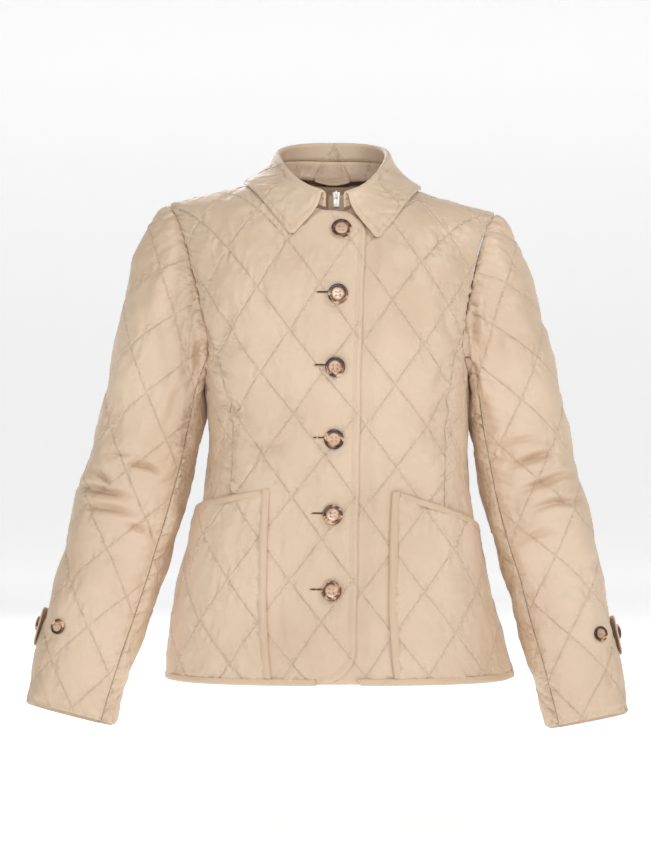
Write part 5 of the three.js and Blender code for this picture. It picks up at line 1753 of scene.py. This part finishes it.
# Bands: a closed section carried along a line, with its ends closed
def band(name, place, columns, section, long):
    """A strip made of worn points place(t, across, height), for a share t of its length.

    section(t) is a closed loop of (across, height).
    """
    shares = np.linspace(0, 1, columns + 1)
    loops = np.array([section(t) for t in shares])
    count = loops.shape[1]
    t = np.repeat(shares, count)
    points = place(t, loops[..., 0].ravel(), loops[..., 1].ravel())
    faces = []
    i = np.arange(columns)[:, None] * count
    j = np.arange(count)[None, :]
    k = (j + 1) % count
    faces.append(np.stack([i + j, i + count + j, i + count + k], -1).reshape(-1, 3))
    faces.append(np.stack([i + j, i + count + k, i + k], -1).reshape(-1, 3))
    for start, turn in ((0, 1), (columns * count, -1)):
        middle = points[start : start + count].mean(0)
        points = np.concatenate([points, middle[None]])
        hub = len(points) - 1
        around = start + np.arange(count)
        fan = np.stack([np.full(count, hub), np.roll(around, -1), around], -1)
        faces.append(fan[:, ::turn])
    faces = outward_faces(points, np.concatenate(faces))
    run = np.concatenate([[0], np.cumsum(np.hypot(*np.diff(loops[0], axis=0).T))])
    flat = np.stack([t * long, np.tile(run, columns + 1)], -1)
    flat = np.concatenate([flat, [[0, 0], [long, 0]]])
    return mesh_object(name, points, faces, TRIM_FINISH, flat, np.zeros(len(points)))


def dress_band(obj, node):
    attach(obj, "jacket")
    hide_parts(node)


def on_body(side, u, v, w):
    """Worn points that lie w above the even form of a front, with its folds."""
    return raised(on_form("front", side), side, "body", u, v, w)


def pocket_bindings(name):
    """Binds a pocket's front edge and its mouth, and gives their rows of stitches."""
    side, pocket = SIDES[name], POCKETS[name]
    edge, gape = pocket["edge"], pocket["gape"]
    low, high = HEM_Z + HEM_BAND + 0.4, pocket["front_top"] - 0.5

    def front_place(t, across, height):
        return on_body(side, edge + across, mix(low, high, t), height)

    def front_section(t):
        base = float(pocket_bed(np.array(edge), np.array(mix(low, high, t)), gape))
        ease = 0.25 * float(noise(77, t * 30))
        return [
            *((-1.5, 0.1), (-2.0, 1.0), (-1.9, base * 0.7), (-1.2, base + 0.9), (0.0, base + 1.35)),
            *((1.2, base + 1.15), (2.0, base + 1.5 + ease), (3.4, base + 1.9 + ease)),
            *((5.0, base + 1.5 + ease), (5.8, base + 1.1), (6.8, base + 1.2)),
            *((7.3, base + 0.8), (7.5, base - 0.2)),
            *((3.0, base - 0.4), (0.2, base - 0.6), (-0.6, 0.3)),
        ]

    strap = band(f"pocket_{name}_front_band", front_place, 100, front_section, high - low)
    dress_band(strap, f"pocket_binding_{name}")
    runs = []
    for across, lift in ((1.2, 1.2), (5.8, 1.15)):

        def on_strap(u, v, w, lift=lift):
            return on_body(side, u, v, pocket_bed(edge + 0 * u, v, gape) + lift + w)

        line = np.stack([np.full(90, edge + across), np.linspace(low + 1, high - 1, 90)], -1)
        runs.append(top_stitches(on_strap, [line]))

    top, far = pocket_line(name)
    start, stop = edge + BINDING_WIDE - 1.4, far - 2

    def mouth_place(t, across, height):
        u = mix(start, stop, t)
        return on_body(side, u, top(u) + across, height)

    def mouth_section(t):
        u = np.array(mix(start, stop, t))
        base = float(pocket_bed(u, top(u), gape))
        ease = 0.3 * float(noise(79, t * 24))
        down = base - POCKET_WALL
        return [
            *((-6.6, base - 0.2), (-6.7, base + 0.7), (-6.1, base + 1.2), (-4.4, base + 1.25 + ease)),
            *((-2.0, base + 1.5 + ease), (-0.2, base + 1.2), (0.9, base + 0.3), (1.1, base - 0.9)),
            *((0.8, down - 0.2), (0.0, down - 0.5), (-3.5, down - 0.5), (-3.6, down + 0.3)),
            *((-0.6, down + 0.6), (-0.5, base - 0.4)),
        ]

    strap = band(f"pocket_{name}_mouth_band", mouth_place, 110, mouth_section, stop - start)
    dress_band(strap, f"pocket_mouth_{name}")
    run_u = np.linspace(start + 1, stop - 1, 120)
    line = np.stack([run_u, top(run_u) - 5.4], -1)
    runs.append(top_stitches(lambda u, v, w: on_body(side, u, v, pocket_bed(u, v, gape) + 1.25 + w), [line]))
    return runs


sew("pocket_stitches", [run for name in SIDES for run in pocket_bindings(name)])

# Hem binding, folded round the lower edge from one front to the other
hem_total = float(ring_lengths(HEM_Z)[0])
hem_from = float(free_edge(HEM_Z) + OVERLAP["corner_wide"] + 1)
hem_to = float(2 * hem_total - (OVERLAP["over"] + lean_x(HEM_Z) + 4))
pocket_end = float(panel_seams["back"][0][0]) - 1


def hem_rise(u):
    """How far the binding stands out where it passes over the pockets."""
    right, other = u, 2 * hem_total - u
    total = 0
    for distance, name in ((right, "right"), (other, "left")):
        start = POCKETS[name]["edge"]
        begun = smooth(start - 14, start - 3, distance)
        ended = smooth(pocket_end + 3, pocket_end + 14, distance)
        total = total + begun * (1 - ended) * (pocket_rise(distance) + 0.3)
    return total


def hem_place(t, across, height):
    u = mix(hem_from, hem_to, t)
    return on_body(-1, u, HEM_Z + across, height)


def hem_section(t):
    u = np.array(mix(hem_from, hem_to, t))
    rise = float(hem_rise(u))
    ease = 0.3 * float(noise(81, float(u) / 11))
    return [
        *((6.5, rise + 0.2), (6.6, rise + 0.9), (6.0, rise + 1.35), (4.8, rise + 1.3)),
        *((3.0, rise + 1.7 + ease), (1.0, rise + 1.6 + ease), (-0.7, rise + 0.8)),
        *((-1.4, mix(rise, -WALL, 0.5)), (-0.9, -WALL - 0.6)),
        *((0.6, -WALL - 1.2), (5.6, -WALL - 1.1), (6.2, -WALL - 0.5), (5.8, -WALL + 0.1)),
        *((0.8, -WALL + 0.1), (0.7, rise)),
    ]


hem_long = hem_to - hem_from
hem = band("hem_band", hem_place, 420, hem_section, hem_long)
dress_band(hem, "hem_binding")
hem_u = np.linspace(hem_from + 1, hem_to - 1, 700)
hem_line = np.stack([hem_u, np.full(hem_u.shape, HEM_Z + 5.1)], -1)
sew("hem_stitches", [top_stitches(lambda u, v, w: on_body(-1, u, v, hem_rise(u) + 1.3 + w), [hem_line])])


# Quilting and top stitching on the cloth
def hidden_by(name):
    """Tells which flat places of a piece lie under a pocket or under the other front."""
    kind, side_name = name.split("_")[0], name.split("_")[-1]
    if kind not in ("front", "side"):
        return lambda u, v: np.zeros(u.shape, bool)
    outline = pocket_outline(side_name)
    if kind == "side":
        return lambda u, v: within(outline, u + ring_lengths(v)[1], v)
    lap = OVERLAP["over"] + 4 if side_name == "left" else -math.inf
    return lambda u, v: within(outline, u, v) | (u < lap + lean_x(v))


for name, piece in pieces.items():
    if name == "collar_stand":
        continue
    leaf = name == "collar_leaf"
    runs = [(piece.on_top, *quilt_stitches(piece, hidden_by(name), 9 if leaf else 2.2))]
    if name == "front_right":
        line = front_edge_line(free_edge, True)
        rows_in = [offset_line(line, -row) for row in EDGE_ROWS]
        rows_in = [r[np.concatenate([[True], np.hypot(*np.diff(r, axis=0).T) > 0.01])] for r in rows_in]
        runs.append(top_stitches(piece.on_top, rows_in))
    if leaf:
        low, high = collar_flat(joined) + 14, collar_flat(1) - LEAF_ROW
        long = half_long - LEAF_ROW
        runs.append(top_stitches(piece.on_top, [[(-long, low), (-long, high), (long, high), (long, low)]]))
    sew(f"{name}_stitches", runs)


# Cuff tabs: pointed straps round the outer side of each sleeve
def tab_line(name):
    """A sleeve's form, the height of its tab's middle, and where the tab ends."""
    form = sleeve_forms[name]
    middle = -(form["length"] - TAB["up"])
    return form, middle, form["length_at"](-middle, radians(6))


def cuff_tab(name):
    form, middle, end = tab_line(name)
    start = float(form["length_at"](-middle, radians(SLEEVE_SEAMS["back"]))) + 1
    stop = float(end)
    half, point = TAB["half"], TAB["point"]
    outline = [(start, middle - half), (stop - point, middle - half)]
    for a in np.radians(np.linspace(20, 90, 6)):
        outline.append((stop - point * (1 - math.sin(a)), middle - half + 8 * (1 - math.cos(a))))
    outline += [(x, 2 * middle - y) for x, y in outline[::-1]]

    def level(u, v):
        a = np.clip((u - start) / (stop - start), 0, 1)
        return TAB["lift"] + TAB["wall"] + TAB["gape"] * smooth(0.5, 1, a) + 1.2 * smooth(0.8, 1, a)

    return Piece(
        f"cuff_tab_{name}_cloth",
        tidy_outline(outline),
        form["point"],
        -SIDES[name],
        LATTICES["tab"],
        name,
        1200,
        wall=TAB["wall"],
        puff=0,
        level=level,
        puckered=uniform(0),
        roll=0.5,
        grid=1.6,
        rows=lambda u, v, away: [away - TAB["row"]],
        ribs=(3.4, 4, 4.6),
    )


for name in SIDES:
    tab = cuff_tab(name)
    dress(tab, [f"cuff_tab_{name}"], [f"sleeve_top_{name}_cloth"], CLOTH_FINISH)
    inner = inset(tab.outline, TAB["row"])
    sew(f"cuff_tab_{name}_stitches", [top_stitches(tab.on_top, [np.concatenate([inner, inner[:1]])])])


# Buttons: a dished disc of mottled horn with a round rim, four holes and its sewing thread
def select_faces(test):
    """In edit mode, selects the faces that pass a test and no others."""
    mesh = bmesh.from_edit_mesh(bpy.context.object.data)
    bpy.ops.mesh.select_mode(type="FACE")
    for face in mesh.faces:
        face.select_set(bool(test(face)))
    bmesh.update_edit_mesh(bpy.context.object.data)


def applied(obj, kind, **settings):
    modifier = obj.modifiers.new("finish", kind)
    for key, value in settings.items():
        setattr(modifier, key, value)
    bpy.ops.object.modifier_apply(modifier=modifier.name)


def cylinder(count, radius, depth, place):
    bpy.ops.object.select_all(action="DESELECT")
    bpy.ops.mesh.primitive_cylinder_add(vertices=count, radius=radius * MM, depth=depth * MM, location=place)
    return bpy.context.object


def horn_button(name, radius, thick, rim, dish, hole, pitch):
    """A button that lies on z = 0. hole is a hole's radius, and pitch its distance from the middle lines."""
    obj = cylinder(48, radius, thick, (0, 0, thick / 2 * MM))
    obj.name = name
    bpy.ops.object.mode_set(mode="EDIT")
    select_faces(lambda f: f.normal.z > 0.9)
    bpy.ops.mesh.inset(thickness=0.55 * rim * MM, depth=0.12 * thick * MM)
    bpy.ops.mesh.inset(thickness=0.45 * rim * MM, depth=-0.1 * thick * MM)
    bpy.ops.mesh.inset(thickness=0.12 * radius * MM, depth=-dish * MM)
    bpy.ops.mesh.inset(thickness=0.3 * radius * MM, depth=-0.12 * dish * MM)
    select_faces(lambda f: f.normal.z < -0.9)
    bpy.ops.mesh.inset(thickness=0.22 * radius * MM, depth=0.0)
    bpy.ops.transform.translate(value=(0, 0, -0.02 * MM))
    bpy.ops.object.mode_set(mode="OBJECT")
    bpy.ops.object.transform_apply(location=True, rotation=True, scale=True)
    applied(obj, "BEVEL", width=0.5 * MM, segments=3, limit_method="ANGLE", angle_limit=math.radians(24))
    places = [(x * MM, y * MM, 0) for x in (-pitch, pitch) for y in (-pitch, pitch)]
    drills = [cylinder(16, hole, 20, place) for place in places]
    for drill in drills:
        drill.select_set(True)
    bpy.context.view_layer.objects.active = drills[0]
    bpy.ops.object.join()
    bpy.ops.object.transform_apply(location=True, rotation=True, scale=True)
    drill = bpy.context.object
    bpy.context.view_layer.objects.active = obj
    applied(obj, "BOOLEAN", object=drill, operation="DIFFERENCE", solver="EXACT")
    bpy.data.objects.remove(drill)
    obj.data.materials.clear()
    obj.data.materials.append(HORN_FINISH)
    share = [math.hypot(v.co.x, v.co.y) / (radius * MM) for v in obj.data.vertices]
    obj.data.attributes.new("rim", "FLOAT", "POINT").data.foreach_set("value", share)
    floor = (thick - dish - 0.25) * MM
    for side in (-1, 1):
        bpy.ops.object.select_all(action="DESELECT")
        bpy.ops.mesh.primitive_torus_add(
            major_radius=pitch * MM,
            minor_radius=0.42 * hole * MM,
            major_segments=20,
            minor_segments=8,
            location=(0, side * pitch * MM, floor),
            rotation=(math.pi / 2, 0, 0),
        )
        strand = bpy.context.object
        bpy.ops.object.transform_apply(location=False, rotation=True, scale=True)
        bpy.ops.object.mode_set(mode="EDIT")
        bpy.ops.mesh.select_all(action="SELECT")
        bpy.ops.transform.resize(value=(1, 1, 0.5), center_override=(0, side * pitch * MM, floor))
        bpy.ops.mesh.bisect(plane_co=(0, 0, floor), plane_no=(0, 0, -1), clear_outer=True, use_fill=True)
        bpy.ops.object.mode_set(mode="OBJECT")
        bpy.ops.object.transform_apply(location=True, rotation=True, scale=True)
        strand.data.materials.append(THREAD_FINISH)
        obj.select_set(True)
        bpy.context.view_layer.objects.active = obj
        bpy.ops.object.join()
    bpy.ops.object.shade_smooth_by_angle(angle=math.radians(38))
    obj.select_set(False)
    return obj


def set_in_place(obj, at, normal):
    """Moves a piece modelled lying flat on to a place on the cloth."""
    z = Vector(normal).normalized()
    x = Vector((0, 0, 1)).cross(z).normalized()
    y = z.cross(x)
    turn = Matrix((x, y, z)).transposed().to_4x4()
    obj.data.transform(Matrix.Translation(Vector(at) * MM) @ turn)


def copied(obj, name):
    twin = bpy.data.objects.new(name, obj.data.copy())
    bpy.context.scene.collection.objects.link(twin)
    return twin


def put_button(model, name, node, place, u, v, lift):
    u, v = np.array([float(u)]), np.array([float(v)])
    at = place(u, v, np.array([lift]))[0]
    normal = (place(u, v, np.array([3.0])) - place(u, v, np.array([2.0])))[0]
    button = copied(model, name)
    set_in_place(button, at, normal)
    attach(button, "jacket")
    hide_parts(node)


front_button = horn_button("front_button_model", 11.7, 3.6, 2.7, 1.3, 1.05, 2.2)
cuff_button = horn_button("cuff_button_model", 9, 3.2, 2.2, 1.0, 0.9, 1.75)
on_front = pieces["front_right"].place
for i, (z, lift) in enumerate(BUTTONS, 1):
    put_button(front_button, f"front_button_{i}", f"button_{i}", on_front, -lean_x(z), centre_cloth(z), lift)
for name, side in SIDES.items():
    form, middle, end = tab_line(name)
    ahead = form["length_at"](-middle, radians(CUFF_BUTTON_ANGLE))
    on_tab = TAB["lift"] + TAB["gape"] + TAB["wall"] + 0.9
    for kind, u, v, lift in (("end", end - 15, middle + 3, on_tab), ("front", ahead, middle + 2, 2.4)):

        def on_sleeve(u, v, w, form=form, side=side, name=name):
            return raised(form["point"], -side, name, u, v, w)

        put_button(
            cuff_button, f"cuff_{name}_{kind}_button", f"cuff_button_{kind}_{name}", on_sleeve, u, v, lift
        )
bpy.data.objects.remove(front_button)
bpy.data.objects.remove(cuff_button)

# Buttonholes: a thin sheet painted dark for the shade in the slit, with a close row of stitches round it
HOLE = {"near": 3, "far": 24.5, "up": 2.0, "half": 0.85}
SLIT_STEPS = 22
SLIT_ROWS = ((-1, 0.12), (0, 0.04), (1, 0.12), (1, -0.4), (-1, -0.4))
hole_runs, slit_points, slit_faces = [], [], []
for z, _ in BUTTONS[1:]:
    u0, v0 = -float(lean_x(z)), float(centre_cloth(z)) + HOLE["up"]
    on_top = pieces["front_right"].on_top
    along = np.arange(HOLE["near"], HOLE["far"], 0.42)
    for side in (-1, 1):
        centres = np.stack([u0 + along, np.full(len(along), v0 + side * (HOLE["half"] + 0.55))], -1)
        hole_runs.append((on_top, centres, np.tile([0.0, 1.0], (len(along), 1))))
    end = np.radians(np.linspace(-80, 80, 8))
    centres = np.stack([u0 + HOLE["far"] + 0.9 * np.cos(end), v0 + 1.3 * np.sin(end)], -1)
    hole_runs.append((on_top, centres, np.stack([np.cos(end), np.sin(end)], -1)))
    u = u0 + np.linspace(HOLE["near"], HOLE["far"] + 0.2, SLIT_STEPS)
    half = HOLE["half"] * np.sqrt(np.clip((u0 + HOLE["far"] + 0.4 - u) / 3, 0, 1))
    count = len(SLIT_ROWS)
    base = len(slit_points) * SLIT_STEPS * count
    slit_points.append(np.concatenate([on_top(u, v0 + half * k, lift) for k, lift in SLIT_ROWS]))
    for r in range(count):
        for i in range(SLIT_STEPS - 1):
            a, b = base + r * SLIT_STEPS + i, base + ((r + 1) % count) * SLIT_STEPS + i
            slit_faces += [(a, a + 1, b + 1), (a, b + 1, b)]
    for i in (0, SLIT_STEPS - 1):
        ring = [base + r * SLIT_STEPS + i for r in range(count)]
        fans = [(ring[0], ring[k], ring[k + 1]) for k in range(1, count - 1)]
        slit_faces += fans if i else [f[::-1] for f in fans]
slit_points = np.concatenate(slit_points)
slit_faces = outward_faces(slit_points, np.array(slit_faces))
# The slit is a thin sheet on the cloth, painted dark brown as the shade in the opening.
slit_shade = mesh_object("buttonhole_slit_shade", slit_points, slit_faces, shade_material())
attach(slit_shade, "jacket")
sew("buttonhole_stitches", hole_runs, long=1.5, wide=0.34, high=0.3)

# Zip behind the fronts: two tapes, their teeth, and the slider with its pull
ZIP = {"tape": 15, "gap": 1.2, "top": -13, "bottom": -555, "depth": 10.4, "x": 4.5}
zip_z = np.array([-540, -480, -400, -320, -240, -170, -120, -80, -60, -42, -12], float)
left_form = on_form("front", 1)
zip_y = []
for z in zip_z[:-2]:
    u, v = np.array([0.0]), np.array([float(centre_cloth(z))])
    zip_y.append((left_form(u, v) - facing_of(left_form, u, v) * ZIP["depth"])[0, 1])
zip_line = {"z": zip_z, "y": np.array(zip_y + [-79.5, -78.5])}
zip_depth = through(zip_line, "z", "y")


def zip_point(side, z, reach, deep):
    middle = mix(ZIP["x"], lean_x(z) + body_shift(np.minimum(z, CHEST_Z)), smooth(-20, -60, z))
    return posed(np.stack([middle + side * reach, zip_depth(z) - deep, z], -1))


ZIP_LONG = ZIP["top"] - ZIP["bottom"]
TAPE_SECTION = [(0, 0.1), (0, 0.95), (2.5, 1), (3, 0.75), (14.4, 0.7), (15, 0.4), (14.4, 0.1), (3, 0.05)]
for name, side in SIDES.items():

    def tape_place(t, across, height, side=side):
        z = mix(ZIP["bottom"], ZIP["top"], t)
        taper = mix(1, 0.55, smooth(-60, -14, z))
        return zip_point(side, z, ZIP["gap"] / 2 + across * taper, height)

    tape = band(f"zip_tape_{name}_woven", tape_place, 160, lambda t: TAPE_SECTION, ZIP_LONG)
    dress_band(tape, f"zip_tape_{name}")

bpy.ops.object.select_all(action="DESELECT")
bpy.ops.mesh.primitive_cube_add(size=MM)
tooth = bpy.context.object
bpy.ops.object.mode_set(mode="EDIT")
bpy.ops.mesh.select_all(action="SELECT")
bpy.ops.transform.resize(value=(2.6, 1.7, 0.9))
select_faces(lambda f: f.normal.x < -0.9)
bpy.ops.transform.resize(value=(1, 0.75, 0.7))
bpy.ops.object.mode_set(mode="OBJECT")
applied(tooth, "BEVEL", width=0.18 * MM, segments=1)
tooth_points = np.array([v.co[:] for v in tooth.data.vertices]) / MM
tooth.data.calc_loop_triangles()
tooth_faces = np.array([t.vertices[:] for t in tooth.data.loop_triangles])
bpy.data.objects.remove(tooth)
all_points, all_faces = [], []
for name, side in SIDES.items():
    for z in np.arange(ZIP["bottom"] + 3, -24, 2.0):
        z = z + (1.0 if side > 0 else 0)
        centre = zip_point(side, np.array(z), 0.35, 0.55)
        all_faces.append(tooth_faces + len(all_points) * len(tooth_points))
        all_points.append(tooth_points * np.array([side, 1, 1]) + centre)
        if side < 0:
            all_faces[-1] = all_faces[-1][:, ::-1]
teeth = mesh_object("zip_teeth", np.concatenate(all_points), np.concatenate(all_faces), METAL_FINISH)
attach(teeth, "jacket")

PULL = {"x": 4.5, "y": -84.4, "z": -10.2, "bar": 1.2, "wide": 7, "long": 17, "thick": 1.2}
pull_at = np.array([PULL["x"], PULL["y"], PULL["z"]])
pull_shift = posed(pull_at[None])[0] - pull_at


def metal_block(centre, size, bevel, taper=1, segments=2):
    """A bevelled block, narrower at its foot for a taper below one."""
    bpy.ops.object.select_all(action="DESELECT")
    bpy.ops.mesh.primitive_cube_add(size=MM, location=(0, 0, 0))
    obj = bpy.context.object
    bpy.ops.object.mode_set(mode="EDIT")
    bpy.ops.mesh.select_all(action="SELECT")
    bpy.ops.transform.resize(value=size)
    if taper < 1:
        select_faces(lambda f: f.normal.z < -0.9)
        bpy.ops.transform.resize(value=(taper, 1, 1))
    bpy.ops.mesh.select_all(action="SELECT")
    bpy.ops.transform.translate(value=tuple((np.array(centre) + pull_shift) * MM))
    bpy.ops.object.mode_set(mode="OBJECT")
    applied(obj, "BEVEL", width=bevel * MM, segments=segments)
    obj.data.materials.append(METAL_FINISH)
    return obj


def fused(name, parts):
    bpy.ops.object.select_all(action="DESELECT")
    for part in parts:
        part.select_set(True)
    bpy.context.view_layer.objects.active = parts[0]
    if len(parts) > 1:
        bpy.ops.object.join()
    obj = bpy.context.object
    obj.name = name
    bpy.ops.object.shade_smooth_by_angle(angle=math.radians(40))
    obj.select_set(False)
    return obj


x, y, z = pull_at
slider = fused(
    "zip_slider_body",
    [
        metal_block((x, y + 2.1, z - 5), (9, 1.3, 12), 0.45, 0.72, 3),
        metal_block((x, y + 4.6, z - 5), (9, 1.2, 12), 0.4, 0.72, 3),
        metal_block((x, y + 3.3, z - 1), (2.2, 2.4, 3.4), 0.3),
        metal_block((x, y - 0.55, z + 1.7), (1.9, 3.9, 1.2), 0.3),
        metal_block((x, y - 0.55, z - 5.6), (1.9, 3.9, 1.2), 0.3),
        metal_block((x, y - 1.75, z - 1.95), (1.9, 1.1, 8.6), 0.35),
    ],
)
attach(slider, "jacket")
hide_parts("zip_slider")
centre = (x, y, z + PULL["bar"] / 2 - PULL["long"] / 2)
plate = metal_block(centre, (PULL["wide"], PULL["thick"], PULL["long"]), 0.05, 1, 1)
hole = metal_block((x, y, z - 4), (3.4, 4, 6.8), 0.6)
bpy.context.view_layer.objects.active = plate
applied(plate, "BOOLEAN", object=hole, operation="DIFFERENCE", solver="EXACT")
bpy.data.objects.remove(hole)
applied(plate, "BEVEL", width=0.28 * MM, segments=2, limit_method="ANGLE", angle_limit=math.radians(40))
plate = fused("zip_pull_plate", [plate])
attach(plate, "pull")
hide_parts("zip_pull")

# Hanger loop inside the back neck
LOOP = {"half": 21, "drop": 4, "bow": 2.2}


def loop_place(t, across, height):
    x = mix(-LOOP["half"], LOOP["half"], t)
    slack = np.sin(math.pi * t)
    behind = NECK["back"] * np.sqrt(1 - (x / NECK["half"]) ** 2) - 2.9
    return posed(np.stack([x, behind - LOOP["bow"] * slack + height, 13 - LOOP["drop"] * slack + across], -1))


LOOP_SECTION = [
    *((0, 0.2), (0.3, -0.2), (1.2, 0.05), (3.5, -0.1), (5.8, 0.05)),
    *((6.7, -0.2), (7, 0.3), (6.6, 1.1), (3.5, 1.0), (0.4, 1.1)),
]
loop = band("hanger_loop_cloth", loop_place, 40, lambda t: LOOP_SECTION, 2 * LOOP["half"])
dress_band(loop, "hanger_loop")

# Stage: a pale floor that turns up behind into a pale wall, and soft light. Here lengths are in metres.
FLOOR_Z = -0.78
LIGHTS = {
    "key_light": ((2.7, -2.1, 2.3), 0.7, 55),
    "fill_light": ((-2.4, -2.6, 0.8), 1.0, 20),
    "front_light": ((0.1, -3.3, 0.75), 0.6, 21),
    "top_light": ((-0.2, -0.8, 2.7), 1.2, 17),
    "back_light": ((-1.0, 3.2, 1.6), 2.0, 40),
}
LIT_PLACE = Vector((0, 0, -0.3))
bpy.ops.object.select_all(action="DESELECT")
turn = [(6.5 + 2 * math.sin(a), 2 - 2 * math.cos(a)) for a in np.radians(np.linspace(0, 90, 16))]
profile = [(-9, 0), *turn, (8.5, 9)]
mesh = bpy.data.meshes.new("backdrop")
mesh.from_pydata(
    [(x, y, FLOOR_Z + z) for y, z in profile for x in (-12, 12)],
    [],
    [(2 * i, 2 * i + 1, 2 * i + 3, 2 * i + 2) for i in range(len(profile) - 1)],
)
mesh.update()
mesh.polygons.foreach_set("use_smooth", np.ones(len(mesh.polygons), bool))
backdrop = bpy.data.objects.new("backdrop", mesh)
bpy.context.scene.collection.objects.link(backdrop)
pale = {"Base_Color": (0.9, 0.9, 0.9, 1), "Emission_Color": (1, 1, 1, 1), "Emission_Strength": 0.5}
mesh.materials.append(Finish("pale_paper").finished(**pale, Roughness=0.9))
backdrop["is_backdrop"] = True

world = bpy.data.worlds.new("studio")
bpy.context.scene.world = world
world.use_nodes = True
sky = world.node_tree.nodes["Background"]
sky.inputs["Color"].default_value = (1, 1, 1, 1)
paths = world.node_tree.nodes.new("ShaderNodeLightPath")
strength = world.node_tree.nodes.new("ShaderNodeMapRange")
strength.inputs["To Min"].default_value = 0.16
strength.inputs["To Max"].default_value = 0.96
world.node_tree.links.new(paths.outputs["Is Camera Ray"], strength.inputs["Value"])
world.node_tree.links.new(strength.outputs["Result"], sky.inputs["Strength"])
for name, (place, size, power) in LIGHTS.items():
    bpy.ops.object.light_add(type="AREA", location=place)
    lamp = bpy.context.object
    lamp.name = name
    lamp.data.shape = "SQUARE"
    lamp.data.size = size
    lamp.data.energy = power
    lamp.rotation_euler = (LIT_PLACE - Vector(place)).to_track_quat("-Z", "Y").to_euler()
bpy.context.scene.view_settings.view_transform = "Standard"

low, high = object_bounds()
{"cad": [list(cad_low), list(cad_high)], "visual": [list(low), list(high)]}
